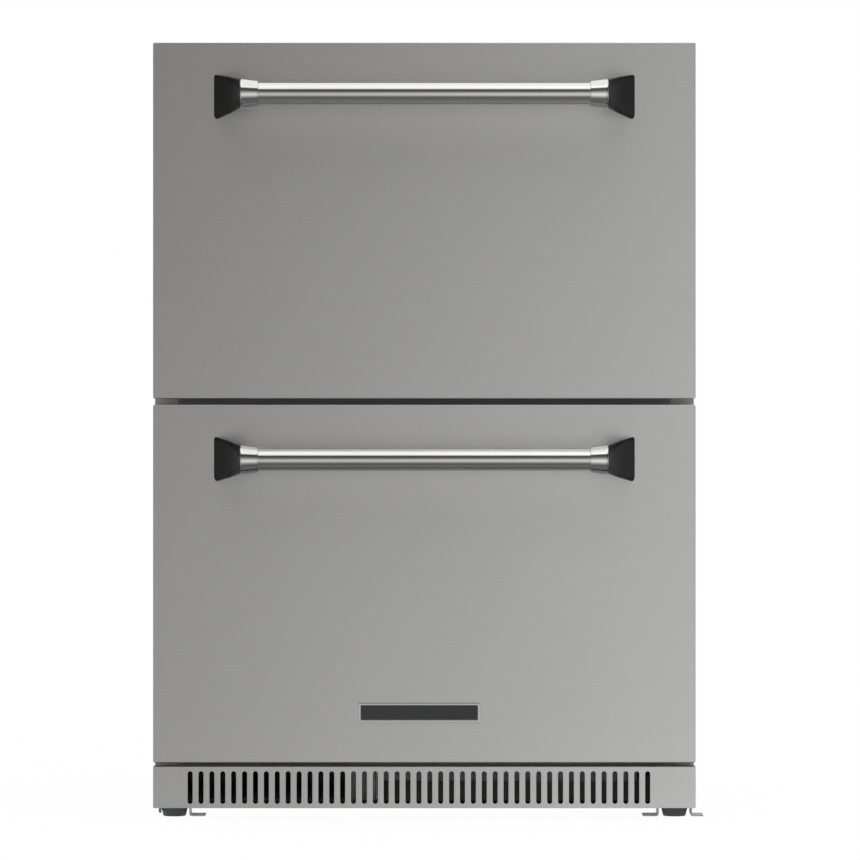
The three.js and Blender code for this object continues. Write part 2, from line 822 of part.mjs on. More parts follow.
// End post of a handle: a conical collar that holds the bar, and a hollow-
// sided flare that turns from the collar's round end to the foot, which is
// taller at its outer edge.
function endPost(zBar) {
  const yBar = Y_FRONT - BAR_STANDOFF;
  const rings = 5;
  const around = 16;
  const verts = [];
  for (let i = 0; i <= rings; i++) {
    const t = i / rings;
    // Inner and outer edge of the section in plan, from collar to foot.
    const hollow = 4 * t * (1 - t);
    const inner = [
      -COLLAR_OUT - (POST_FOOT_IN - COLLAR_OUT) * t * t,
      yBar + COLLAR_R_OUT + (BAR_STANDOFF - COLLAR_R_OUT - GAP) * t,
    ];
    const outer = [
      -COLLAR_OUT - (POST_FOOT_OUT - COLLAR_OUT) * t + 2.2 * hollow,
      yBar - COLLAR_R_OUT + (BAR_STANDOFF + COLLAR_R_OUT - GAP) * t + 1.2 * hollow,
    ];
    const tallOut = COLLAR_R_OUT + (POST_FOOT_HALF - COLLAR_R_OUT) * t - 0.8 * hollow;
    const tallIn = COLLAR_R_OUT + (POST_FOOT_HALF_IN - COLLAR_R_OUT) * t;
    const square = 2 + 30 * t * t;      // superellipse power: round to square
    for (let k = 0; k < around; k++) {
      const a = (2 * Math.PI * k) / around;
      const c = Math.cos(a);
      const s = Math.sin(a);
      const rad = Math.pow(Math.abs(c) ** square + Math.abs(s) ** square, -1 / square);
      const u = rad * c;
      verts.push([
        (inner[0] + outer[0]) / 2 + (u * (outer[0] - inner[0])) / 2,
        (inner[1] + outer[1]) / 2 + (u * (outer[1] - inner[1])) / 2,
        zBar + (rad * s * (tallOut * (1 + u) + tallIn * (1 - u))) / 2,
      ]);
    }
  }
  const index = [];
  for (let i = 0; i < rings; i++) {
    for (let k = 0; k < around; k++) {
      const n = (k + 1) % around;
      const [a, b, c, d] = [i * around + k, i * around + n, (i + 1) * around + n, (i + 1) * around + k];
      index.push(a, b, c, a, c, d);
    }
  }
  for (let k = 1; k + 1 < around; k++) {
    const e = rings * around;
    index.push(0, k + 1, k);
    index.push(e, e + k, e + k + 1);
  }
  const g = new THREE.BufferGeometry();
  g.setAttribute("position", new THREE.BufferAttribute(new Float32Array(verts.flat()), 3));
  g.setIndex(index);
  const flare = solid(g);
  const collar = solid(
    new THREE.LatheGeometry(
      [
        [0, -COLLAR_OUT - 1.5],
        [COLLAR_R_OUT - 1.6, -COLLAR_OUT - 1.5],
        [COLLAR_R_OUT, -COLLAR_OUT + 1.2],
        [COLLAR_R_IN, -COLLAR_IN],
        [SOCKET_R, -COLLAR_IN],
        [SOCKET_R, -COLLAR_IN - SOCKET_DEPTH],
        [0, -COLLAR_IN - SOCKET_DEPTH],
      ].map(([r, h]) => new THREE.Vector2(r, h)),
      18,
    )
      .rotateZ(-Math.PI / 2)
      .translate(0, yBar, zBar),
  );
  return join(collar, flare);
}

function drawer(level, [z0, z1], zBar, tub, plugZ, gasketZ) {
  const half = FRONT_W / 2;
  const back = Y_FRONT + FRONT_DEPTH;

  // Front: a folded steel pan, closed behind by a moulded panel whose plug
  // reaches into the liner's mouth.
  piece(
    `${level}_front_skin`,
    cut(
      prism(roundedRect(-half, half, z0, z1, FRONT_CORNER), "y", Y_FRONT, back, 2),
      box(
        -half + FRONT_SKIN,
        half - FRONT_SKIN,
        Y_FRONT + FRONT_SKIN,
        back + 1,
        z0 + FRONT_SKIN,
        z1 - FRONT_SKIN,
      ),
    ),
    STEEL,
  );
  const inset = FRONT_SKIN + GAP;
  piece(
    `${level}_inner_panel`,
    cut(
      join(
        box(-half + inset, half - inset, back - 3, back - 0.4, z0 + inset, z1 - inset),
        box(-PLUG_HALF, PLUG_HALF, back - 2, PLUG_Y, ...plugZ),
      ),
      box(
        -PLUG_HALF + PLUG_WALL,
        PLUG_HALF - PLUG_WALL,
        back - 10,
        PLUG_Y - PLUG_WALL,
        plugZ[0] + PLUG_WALL,
        plugZ[1] - PLUG_WALL,
      ),
    ),
    WHITE_PLASTIC,
  );
  piece(
    `${level}_gasket`,
    cut(
      box(-GASKET_OUT, GASKET_OUT, back, Y_FACE - GAP, ...gasketZ),
      box(
        -GASKET_OUT + GASKET_BAND,
        GASKET_OUT - GASKET_BAND,
        back - 5,
        Y_FACE + 5,
        gasketZ[0] + GASKET_BAND,
        gasketZ[1] - GASKET_BAND,
      ),
    ),
    GASKET_GREY,
  );

  // Tub with an outward rim.
  const { y, z } = tub;
  piece(
    `${level}_tub`,
    cut(
      join(
        box(-TUB_HALF, TUB_HALF, y[0], y[1], z[0], z[1]),
        box(-TUB_HALF - TUB_RIM, TUB_HALF + TUB_RIM, y[0], y[1] + TUB_RIM / 2, z[1] - 2, z[1]),
      ),
      box(
        -TUB_HALF + TUB_WALL,
        TUB_HALF - TUB_WALL,
        y[0] + TUB_WALL,
        y[1] - TUB_WALL,
        z[0] + TUB_WALL,
        z[1] + 5,
      ),
    ),
    STEEL,
  );

  // Handle
  piece(`${level}_handle_bar`, rod("x", BAR_R, -BAR_HALF, BAR_HALF, Y_FRONT - BAR_STANDOFF, zBar, 24), CHROME);
  const post = endPost(zBar);
  piece(`${level}_handle_post_left`, post, CHROME);
  piece(`${level}_handle_post_right`, mirrorX(post), CHROME);
}

drawer("upper", UPPER_FRONT, UPPER_BAR_Z, UPPER_TUB, [495, 822], [475, 862]);
drawer("lower", LOWER_FRONT, LOWER_BAR_Z, LOWER_TUB, [108, 440], [74, 462]);
slides("upper", UPPER_SLIDE);
slides("lower", LOWER_SLIDE);

// A plain name-plate blank on the lower front.
piece(
  "badge_plate",
  prism(roundedRect(-73.6, 62.2, 110.3, 131.6, 1.5), "y", Y_FRONT - 2.2, Y_FRONT - GAP, 3),
  CHROME,
);

export default fridge;
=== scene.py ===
"""Looks for the under-counter fridge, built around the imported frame. Metres, +Z up, front at -Y."""
import math

import bmesh
import bpy
from mathutils import Matrix, Vector


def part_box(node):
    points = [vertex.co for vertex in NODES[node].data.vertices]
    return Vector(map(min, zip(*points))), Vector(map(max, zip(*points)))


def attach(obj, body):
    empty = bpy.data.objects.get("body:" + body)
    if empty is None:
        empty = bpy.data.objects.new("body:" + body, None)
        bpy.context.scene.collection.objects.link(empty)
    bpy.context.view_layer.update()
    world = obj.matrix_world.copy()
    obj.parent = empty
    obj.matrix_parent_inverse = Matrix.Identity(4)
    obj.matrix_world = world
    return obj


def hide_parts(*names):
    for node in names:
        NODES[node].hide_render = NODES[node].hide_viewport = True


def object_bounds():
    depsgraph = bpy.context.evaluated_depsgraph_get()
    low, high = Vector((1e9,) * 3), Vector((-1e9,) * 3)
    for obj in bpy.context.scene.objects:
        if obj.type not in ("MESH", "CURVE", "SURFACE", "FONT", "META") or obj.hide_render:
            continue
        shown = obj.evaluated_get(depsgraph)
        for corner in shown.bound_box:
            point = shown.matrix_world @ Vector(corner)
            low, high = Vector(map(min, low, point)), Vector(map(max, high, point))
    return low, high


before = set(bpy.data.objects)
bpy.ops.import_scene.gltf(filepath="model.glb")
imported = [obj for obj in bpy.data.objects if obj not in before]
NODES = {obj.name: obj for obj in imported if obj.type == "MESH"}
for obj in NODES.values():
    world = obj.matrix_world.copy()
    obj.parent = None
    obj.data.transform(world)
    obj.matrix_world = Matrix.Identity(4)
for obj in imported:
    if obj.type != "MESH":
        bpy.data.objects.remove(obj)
cad_lo, cad_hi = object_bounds()

scene = bpy.context.scene
scene.view_settings.view_transform = "Standard"
scene.view_settings.look = "None"
MM = 0.001


# ------------------------------------------------------------------ materials

class Graph:
    """A small helper that adds nodes and joins them."""

    def __init__(self, tree):
        self.tree = tree
        self.tree.nodes.clear()

    def add(self, kind, values=None, **props):
        n = self.tree.nodes.new(kind)
        for k, v in props.items():
            setattr(n, k, v)
        for k, v in (values or {}).items():
            if isinstance(v, bpy.types.NodeSocket):
                self.tree.links.new(v, n.inputs[k])
            else:
                n.inputs[k].default_value = v
        return n

    def math(self, op, a, b=0.0, c=None):
        values = {0: a, 1: b}
        if c is not None:
            values[2] = c
        return self.add("ShaderNodeMath", values, operation=op).outputs[0]

    def link(self, a, b):
        self.tree.links.new(a, b)


def start(name):
    m = bpy.data.materials.new(name)
    m.use_nodes = True
    g = Graph(m.node_tree)
    out = g.add("ShaderNodeOutputMaterial")
    bsdf = g.add("ShaderNodeBsdfPrincipled")
    g.link(bsdf.outputs[0], out.inputs[0])
    return m, g, bsdf


def coords(g, scale, rotation=(0, 0, 0)):
    tc = g.add("ShaderNodeTexCoord")
    return g.add(
        "ShaderNodeMapping",
        {"Vector": tc.outputs["Object"], "Scale": scale, "Rotation": rotation},
    ).outputs[0]


def noise(g, vector, scale=1.0, detail=2.0, rough=0.5, distortion=0.0):
    n = g.add(
        "ShaderNodeTexNoise",
        {"Vector": vector, "Scale": scale, "Detail": detail, "Roughness": rough, "Distortion": distortion},
    )
    return n.outputs[0]


def remap(g, value, lo, hi, a=0.0, b=1.0, smooth=False):
    n = g.add(
        "ShaderNodeMapRange",
        {"Value": value, "From Min": a, "From Max": b, "To Min": lo, "To Max": hi},
        interpolation_type="SMOOTHSTEP" if smooth else "LINEAR",
    )
    n.clamp = True
    return n.outputs[0]


def tint(g, factor, dark, light):
    mix = g.add("ShaderNodeMix", data_type="RGBA")
    g.link(factor, mix.inputs[0])
    mix.inputs[6].default_value = (*dark, 1)
    mix.inputs[7].default_value = (*light, 1)
    return mix.outputs[2]


def bump(g, bsdf, height, strength, distance):
    b = g.add("ShaderNodeBump", {"Height": height, "Strength": strength, "Distance": distance})
    g.link(b.outputs[0], bsdf.inputs["Normal"])


def scaled(c, k):
    return tuple(min(1.0, v * k) for v in c)


def brushed(name, color, rough, grain="x", aniso=0.55, contrast=0.05, fine=1.0, smudge=0.03, bumpy=0.25, painted_light_drift=(0.0, 0.0), metallic=0.82):
    """Brushed stainless: long fine lines along one axis, in colour, gloss and relief."""
    m, g, b = start(name)
    along, across = 5.0, 620.0 * fine
    s = {"x": (along, across, across), "y": (across, along, across), "z": (across, across, along)}[grain]
    s2 = tuple(v * 3.1 for v in s)
    coarse = noise(g, coords(g, s), 1.0, 3.0, 0.6)
    hair = noise(g, coords(g, s2), 1.0, 2.0, 0.55)
    lines = g.math("ADD", g.math("MULTIPLY", coarse, 0.55), g.math("MULTIPLY", hair, 0.45))
    cloud = noise(g, coords(g, (3.0, 3.0, 3.0)), 1.0, 3.0, 0.5)
    f = remap(g, lines, 0, 1, 0.3, 0.7)
    if any(painted_light_drift):
        # painted light: the tone drifts along x and z, lighter towards +x and towards the bottom, a lighting gradient
        # painted into the colour
        tc = g.add("ShaderNodeTexCoord")
        sep = g.add("ShaderNodeSeparateXYZ", {0: tc.outputs["Object"]})
        dx = remap(g, sep.outputs[0], -painted_light_drift[0], painted_light_drift[0], -0.303, 0.303)
        dz = remap(g, sep.outputs[2], painted_light_drift[1], -painted_light_drift[1], 0.014, 0.87)
        total = contrast + painted_light_drift[0] + painted_light_drift[1]
        f = g.math("ADD", g.math("MULTIPLY", g.math("SUBTRACT", f, 0.5), contrast / total), g.math("MULTIPLY", g.math("ADD", dx, dz), 0.5 / total))
        f = g.math("ADD", f, 0.5)
        contrast = total
    g.link(tint(g, f, scaled(color, 1 - contrast), scaled(color, 1 + contrast)), b.inputs["Base Color"])
    r = g.math("ADD", remap(g, lines, rough - 0.045, rough + 0.045, 0.3, 0.7), remap(g, cloud, -smudge, smudge, 0.3, 0.7))
    g.link(r, b.inputs["Roughness"])
    b.inputs["Metallic"].default_value = metallic
    b.inputs["Anisotropic"].default_value = aniso
    b.inputs["Anisotropic Rotation"].default_value = 0.25 if grain == "x" else 0.0
    tangent = g.add("ShaderNodeTangent", direction_type="UV_MAP")
    g.link(tangent.outputs[0], b.inputs["Tangent"])
    bump(g, b, lines, bumpy, 0.00004)
    return m


def sheet_steel(name, color, rough, contrast=0.06, metallic=0.85):
    """Galvanised sheet: faint zinc spangle with rolled streaks."""
    m, g, b = start(name)
    v = g.add("ShaderNodeTexVoronoi", {"Vector": coords(g, (55, 55, 55)), "Scale": 1.0, "Randomness": 1.0}, feature="F1")
    cell = g.add("ShaderNodeSeparateColor", {"Color": v.outputs["Color"]}).outputs[0]
    streak = noise(g, coords(g, (30, 30, 400)), 1.0, 3.0)
    f = g.math("ADD", g.math("MULTIPLY", cell, 0.6), g.math("MULTIPLY", streak, 0.4))
    g.link(tint(g, f, scaled(color, 1 - contrast), scaled(color, 1 + contrast)), b.inputs["Base Color"])
    g.link(remap(g, f, rough - 0.07, rough + 0.09, 0.2, 0.8), b.inputs["Roughness"])
    b.inputs["Metallic"].default_value = metallic
    bump(g, b, f, 0.08, 0.0001)
    return m


def polished(name, color, rough, smudge=0.03, fine=0.0):
    """Polished or plated metal with faint handling marks."""
    m, g, b = start(name)
    cloud = noise(g, coords(g, (26, 26, 26)), 1.0, 4.0, 0.6)
    hair = noise(g, coords(g, (40, 1800, 1800)), 1.0, 2.0, 0.5)
    g.link(tint(g, cloud, scaled(color, 0.985), scaled(color, 1.01)), b.inputs["Base Color"])
    r = g.math("ADD", remap(g, cloud, rough, rough + smudge, 0.35, 0.7), g.math("MULTIPLY", hair, fine))
    g.link(r, b.inputs["Roughness"])
    b.inputs["Metallic"].default_value = 1
    bump(g, b, hair, 0.03, 0.00002)
    return m


def plastic(name, color, rough, grain=900.0, depth=0.12, contrast=0.04, coat=0.0):
    m, g, b = start(name)
    pebble = noise(g, coords(g, (grain,) * 3), 1.0, 3.0, 0.55)
    cloud = noise(g, coords(g, (9, 9, 9)), 1.0, 3.0, 0.5)
    g.link(tint(g, cloud, scaled(color, 1 - contrast), scaled(color, 1 + contrast)), b.inputs["Base Color"])
    g.link(remap(g, cloud, rough - 0.04, rough + 0.05, 0.3, 0.7), b.inputs["Roughness"])
    if coat:
        b.inputs["Coat Weight"].default_value = coat
        b.inputs["Coat Roughness"].default_value = 0.08
    bump(g, b, pebble, depth, 0.00008)
    return m


def painted(name, color, rough):
    m, g, b = start(name)
    peel = noise(g, coords(g, (380, 380, 380)), 1.0, 2.0, 0.5)
    cloud = noise(g, coords(g, (7, 7, 7)), 1.0, 3.0, 0.5)
    g.link(tint(g, cloud, scaled(color, 0.93), scaled(color, 1.07)), b.inputs["Base Color"])
    g.link(remap(g, cloud, rough - 0.03, rough + 0.05, 0.3, 0.7), b.inputs["Roughness"])
    bump(g, b, peel, 0.12, 0.0001)
    return m


def copper_tube(name):
    m, g, b = start(name)
    stain = noise(g, coords(g, (60, 60, 60)), 1.0, 5.0, 0.6, 0.4)
    g.link(tint(g, remap(g, stain, 0, 1, 0.3, 0.7), (0.42, 0.2, 0.11), (0.8, 0.42, 0.27)), b.inputs["Base Color"])
    g.link(remap(g, stain, 0.42, 0.2, 0.3, 0.7), b.inputs["Roughness"])
    b.inputs["Metallic"].default_value = 1
    bump(g, b, stain, 0.05, 0.0001)
    return m


def foam(name):
    m, g, b = start(name)
    v = g.add("ShaderNodeTexVoronoi", {"Vector": coords(g, (450, 450, 450)), "Scale": 1.0}, feature="F1")
    cloud = noise(g, coords(g, (14, 14, 14)), 1.0, 4.0)
    g.link(tint(g, cloud, (0.62, 0.54, 0.3), (0.83, 0.76, 0.52)), b.inputs["Base Color"])
    b.inputs["Roughness"].default_value = 0.93
    bump(g, b, v.outputs["Distance"], 0.5, 0.0006)
    return m


def lens(name):
    m, g, b = start(name)
    ribs = g.add("ShaderNodeTexWave", {"Vector": coords(g, (180, 1, 1)), "Scale": 1.0, "Distortion": 0.0}, bands_direction="X")
    cloud = noise(g, coords(g, (12, 12, 12)), 1.0, 2.0)
    g.link(tint(g, cloud, (0.86, 0.88, 0.86), (0.95, 0.96, 0.94)), b.inputs["Base Color"])
    b.inputs["Roughness"].default_value = 0.3
    b.inputs["Emission Color"].default_value = (1.0, 0.97, 0.9, 1)
    b.inputs["Emission Strength"].default_value = 0.55
    bump(g, b, ribs.outputs[1], 0.3, 0.0003)
    return m


def dark_glass(name, color=(0.012, 0.012, 0.015)):
    m, g, b = start(name)
    cloud = noise(g, coords(g, (20, 20, 20)), 1.0, 3.0)
    g.link(tint(g, cloud, scaled(color, 0.8), scaled(color, 1.3)), b.inputs["Base Color"])
    g.link(remap(g, cloud, 0.06, 0.12, 0.3, 0.7), b.inputs["Roughness"])
    b.inputs["Coat Weight"].default_value = 0.6
    b.inputs["Coat Roughness"].default_value = 0.04
    return m


def paint_light_and_shade(m, colour, **limits):
    """Another colour inside a box of the object: painted light or painted shade on part of a sheet."""
    g = Graph.__new__(Graph)
    g.tree = m.node_tree
    bsdf = next(n for n in g.tree.nodes if n.type == "BSDF_PRINCIPLED")
    plain = bsdf.inputs["Base Color"].links[0].from_socket
    tc = g.add("ShaderNodeTexCoord")
    sep = g.add("ShaderNodeSeparateXYZ", {0: tc.outputs["Object"]})
    mask = None
    for axis, (lo, hi) in limits.items():
        v = sep.outputs["xyz".index(axis)]
        inside = g.math("MULTIPLY", g.math("GREATER_THAN", v, lo), g.math("LESS_THAN", v, hi))
        mask = inside if mask is None else g.math("MULTIPLY", mask, inside)
    mix = g.add("ShaderNodeMix", data_type="RGBA")
    g.link(mask, mix.inputs[0])
    g.link(plain, mix.inputs[6])
    mix.inputs[7].default_value = (*colour, 1)
    g.link(mix.outputs[2], bsdf.inputs["Base Color"])
    return m


# painted light: the drift paints the front lighter towards +x and towards the bottom, a lighting gradient in the
# colour
FRONT = brushed("front_brushed", (0.785, 0.777, 0.766), 0.33, "x", aniso=0.65, contrast=0.025, bumpy=0.14, smudge=0.015, painted_light_drift=(0.195, 0.1), metallic=0.98)
# painted shade: the front part of the cabinet sheets (y below -0.2229) is darker, standing in for the shade in the
# gaps round the drawer fronts
CABINET = paint_light_and_shade(
    brushed("cabinet_brushed", (0.6, 0.6, 0.592), 0.42, "y", aniso=0.3, contrast=0.05, fine=0.8, metallic=0.7),
    (0.43, 0.425, 0.405), y=(-0.3, -0.2229),
)
GALV = sheet_steel("galvanised", (0.47, 0.48, 0.49), 0.5, metallic=0.4)
SLIDE = sheet_steel("slide_zinc", (0.6, 0.61, 0.62), 0.36, 0.04)
BRACKET = sheet_steel("bracket_zinc", (0.55, 0.55, 0.55), 0.4, 0.05, metallic=0.6)
# painted shade: darker tones on the left bracket's lip and its return, on the right bracket's outer leg and on the
# lower edge of the right toes, where shade falls under the cabinet and behind the feet
paint_light_and_shade(BRACKET, (0.22, 0.225, 0.225), x=(-0.31, -0.2969))
paint_light_and_shade(BRACKET, (0.34, 0.34, 0.34), x=(0.3005, 0.3032))
paint_light_and_shade(BRACKET, (0.3, 0.3, 0.3), x=(0.2, 0.33), z=(-0.001, 0.0007))
BAR = polished("bar_polished", (0.86, 0.855, 0.845), 0.12, 0.03, 0.03)
CHROME = polished("post_chrome", (0.83, 0.83, 0.83), 0.055, 0.025)
# painted reflection: the flares of the handle posts get a near-black base colour standing in for the dark surroundings
# they reflect; the collars stay chrome
FLARE_PAINTED_DARK = polished("post_flare_painted_dark", (0.055, 0.054, 0.054), 0.09, 0.03)
BADGE = polished("badge_chrome", (0.78, 0.78, 0.78), 0.14, 0.04)
BADGE_INSET = plastic("badge_inset", (0.022, 0.023, 0.023), 0.4, 1500, 0.1)
TUB = brushed("tub_brushed", (0.6, 0.6, 0.595), 0.34, "y", aniso=0.45, contrast=0.05)
LINER = plastic("liner_abs", (0.83, 0.845, 0.85), 0.3, 700, 0.05, 0.012, coat=0.15)
BUTTON = plastic("button_plastic", (0.72, 0.72, 0.72), 0.35, 900, 0.05, 0.02)
BLACK = plastic("black_plastic", (0.026, 0.026, 0.03), 0.42, 1100, 0.16, 0.08)
MULLION = plastic("mullion_plastic", (0.29, 0.27, 0.32), 0.5, 1100, 0.1, 0.06)
FOOT = plastic("foot_plastic", (0.055, 0.062, 0.066), 0.42, 800, 0.12, 0.06)
RUBBER = plastic("gasket_rubber", (0.045, 0.046, 0.05), 0.6, 600, 0.12, 0.06)
PAINT = painted("black_paint", (0.02, 0.02, 0.021), 0.38)
COPPER = copper_tube("copper")
FIN = sheet_steel("fin_aluminium", (0.7, 0.71, 0.72), 0.4, 0.05)
FOAM = foam("insulation")
LENS = lens("lamp_lens")
GLASS = dark_glass("display_glass")
# painted shade and painted highlight on the base deck: its sheet is darker than the other galvanised parts for the
# shade behind the grille, and its top front edge (z above 0.0605, y below -0.222) is painted lighter as a highlight
# seen in the gap above the grille
DUCT_RAIL = paint_light_and_shade(sheet_steel("galvanised_rail", (0.235, 0.235, 0.23), 0.6, metallic=0.3), (0.5, 0.5, 0.49), z=(0.0605, 0.11), y=(-0.3, -0.222))
# painted shade and painted highlight on the air divider: a darker sheet for the shade behind the grille, and its front
# hem (y below -0.2065) painted near-white as a highlight
DIVIDER = paint_light_and_shade(sheet_steel("galvanised_divider", (0.32, 0.32, 0.315), 0.6, metallic=0.3), (0.9, 0.9, 0.9), y=(-0.3, -0.2065))
# painted shade: the base pan's front edge (y below -0.2207, z below 0.03) is near-black, standing in for the shade at
# the foot of the grille's slots
PAN = paint_light_and_shade(sheet_steel("galvanised_pan", (0.47, 0.47, 0.465), 0.5, metallic=0.4), (0.06, 0.06, 0.06), y=(-0.3, -0.2207), z=(0.0, 0.03))
# painted shade: the grille frame's sill and lower part (z below 0.0188) are near-black, standing in for the shade at
# the foot of the slots
CARRIER = paint_light_and_shade(
    brushed("carrier_brushed", (0.7, 0.7, 0.69), 0.4, "x", aniso=0.4, contrast=0.04, bumpy=0.14),
    (0.06, 0.06, 0.06), x=(-0.3, 0.3), z=(0.0, 0.0188),
)
# painted shade on the front of the frame's top return and a painted highlight on its rear strip, both seen through the
# gap above the grille
paint_light_and_shade(CARRIER, (0.34, 0.34, 0.335), y=(-0.3, -0.2335), z=(0.0597, 0.0612))
paint_light_and_shade(CARRIER, (0.95, 0.95, 0.94), y=(-0.2335, -0.2), z=(0.0597, 0.0612))
SCREW = polished("screw_zinc", (0.55, 0.55, 0.56), 0.24, 0.08)
STEM = polished("stem_zinc", (0.5, 0.5, 0.5), 0.28, 0.08)


# -------------------------------------------------------------------- meshes

def planar_uv(me):
    """One metre of surface is one UV unit, with U along the longest level direction."""
    uv = me.uv_layers.new(name="UVMap")
    for p in me.polygons:
        n = p.normal
        ax = max(range(3), key=lambda i: abs(n[i]))
        u, v = {0: (1, 2), 1: (0, 2), 2: (0, 1)}[ax]
        for li in p.loop_indices:
            co = me.vertices[me.loops[li].vertex_index].co
            uv.data[li].uv = (co[u], co[v])


FLAT_SIDED = []      # pieces whose large faces must stay flat in shading


def to_object(name, bm, mat, body, replaces=(), angle=35.0, merge=True, flat=True):
    if merge:
        bmesh.ops.remove_doubles(bm, verts=bm.verts, dist=1e-7)
    bmesh.ops.recalc_face_normals(bm, faces=bm.faces)
    me = bpy.data.meshes.new(name)
    bm.to_mesh(me)
    bm.free()
    for p in me.polygons:
        p.use_smooth = True
    me.set_sharp_from_angle(angle=math.radians(angle))
    planar_uv(me)
    mats = mat if isinstance(mat, (list, tuple)) else [mat]
    for m in mats:
        me.materials.append(m)
    ob = bpy.data.objects.new(name, me)
    scene.collection.objects.link(ob)
    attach(ob, body)
    if replaces:
        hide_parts(*replaces)
    if flat:
        FLAT_SIDED.append(ob)
    return ob


def flatten_shading():
    for ob in FLAT_SIDED:
        w = ob.modifiers.new("shading", "WEIGHTED_NORMAL")
        w.mode = "FACE_AREA"
        w.weight = 50
        w.keep_sharp = True


def bevel(ob, width, segments=3, angle=30.0):
    b = ob.modifiers.new("edge", "BEVEL")
    b.width = width
    b.segments = segments
    b.limit_method = "ANGLE"
    b.angle_limit = math.radians(angle)
    b.harden_normals = True
    b.use_clamp_overlap = True
    return b


def solidify(ob, thickness, offset=-1.0):
    s = ob.modifiers.new("wall", "SOLIDIFY")
    s.thickness = thickness
    s.offset = offset
    s.use_even_offset = True
    return s


def add_box(bm, x0, x1, y0, y1, z0, z1):
    m = Matrix.Translation(((x0 + x1) / 2, (y0 + y1) / 2, (z0 + z1) / 2)) @ Matrix.Diagonal(
        (x1 - x0, y1 - y0, z1 - z0, 1)
    )
    return bmesh.ops.create_cube(bm, size=1.0, matrix=m)["verts"]


def rounded_box(bm, x0, x1, y0, y1, z0, z1, r, segments=3):
    vs = add_box(bm, x0, x1, y0, y1, z0, z1)
    edges = {e for v in vs for e in v.link_edges}
    bmesh.ops.bevel(bm, geom=list(edges), offset=r, segments=segments, profile=0.5, affect="EDGES")


AXES = {
    "x": lambda h, u, v: (h, u, v),
    "y": lambda h, u, v: (u, h, v),
    "z": lambda h, u, v: (u, v, h),
}


def add_rings(bm, rings, cap_start=True, cap_end=True, closed=True):
    rows = [[bm.verts.new(p) for p in ring] for ring in rings]
    n = len(rows[0])
    for a, b in zip(rows, rows[1:]):
        for i in range(n if closed else n - 1):
            j = (i + 1) % n
            bm.faces.new((a[i], a[j], b[j], b[i]))
    if cap_start:
        bm.faces.new(rows[0][::-1])
    if cap_end:
        bm.faces.new(rows[-1])
    return rows


def add_lathe(bm, axis, centre, profile, segments=48, phase=0.0):
    """profile: (radius, height) pairs along the axis; centre: the other two coordinates."""
    f = AXES[axis]
    rings = []
    for r, h in profile:
        ring = []
        for i in range(segments):
            a = 2 * math.pi * (i + phase) / segments
            u, v = centre[0] + r * math.cos(a), centre[1] + r * math.sin(a)
            ring.append(f(h, u, v))
        rings.append(ring)
    return add_rings(bm, rings)


def arc(cx, cy, r, a0, a1, n):
    return [
        (cx + r * math.cos(math.radians(a0 + (a1 - a0) * i / n)), cy + r * math.sin(math.radians(a0 + (a1 - a0) * i / n)))
        for i in range(n + 1)
    ]


def rr(u0, u1, v0, v1, r, n=6):
    """Rounded rectangle as a ring of 4 (n + 1) points."""
    r = max(r, 1e-6)
    return (
        arc(u1 - r, v0 + r, r, -90, 0, n)
        + arc(u1 - r, v1 - r, r, 0, 90, n)
        + arc(u0 + r, v1 - r, r, 90, 180, n)
        + arc(u0 + r, v0 + r, r, 180, 270, n)
    )


def rr4(u0, u1, v0, v1, radii, n=6):
    """As rr, with radii in the order (u1, v0), (u1, v1), (u0, v1), (u0, v0)."""
    a, b, c, d = (max(r, 1e-6) for r in radii)
    return (
        arc(u1 - a, v0 + a, a, -90, 0, n)
        + arc(u1 - b, v1 - b, b, 0, 90, n)
        + arc(u0 + c, v1 - c, c, 90, 180, n)
        + arc(u0 + d, v0 + d, d, 180, 270, n)
    )


def add_tube(bm, pts, r, sides=10, steps=None):
    """A round tube along a smooth curve through points."""
    pts = [Vector(p) for p in pts]
    if steps:
        dense = []
        ext = [pts[0] * 2 - pts[1]] + pts + [pts[-1] * 2 - pts[-2]]
        for i in range(1, len(ext) - 2):
            p0, p1, p2, p3 = ext[i - 1 : i + 3]
            for k in range(steps):
                t = k / steps
                dense.append(
                    0.5
                    * (
                        2 * p1
                        + (p2 - p0) * t
                        + (2 * p0 - 5 * p1 + 4 * p2 - p3) * t * t
                        + (3 * p1 - p0 - 3 * p2 + p3) * t**3
                    )
                )
        dense.append(pts[-1])
        pts = dense
    rings = []
    t0 = (pts[1] - pts[0]).normalized()
    up = Vector((0, 0, 1)) if abs(t0.z) < 0.9 else Vector((1, 0, 0))
    nrm = t0.cross(up).normalized()
    for i, p in enumerate(pts):
        a = pts[max(i - 1, 0)]
        b = pts[min(i + 1, len(pts) - 1)]
        t = (b - a).normalized()
        nrm = (nrm - t * nrm.dot(t)).normalized()
        bn = t.cross(nrm)
        rings.append([p + r * (math.cos(2 * math.pi * k / sides) * nrm + math.sin(2 * math.pi * k / sides) * bn) for k in range(sides)])
    return add_rings(bm, rings)


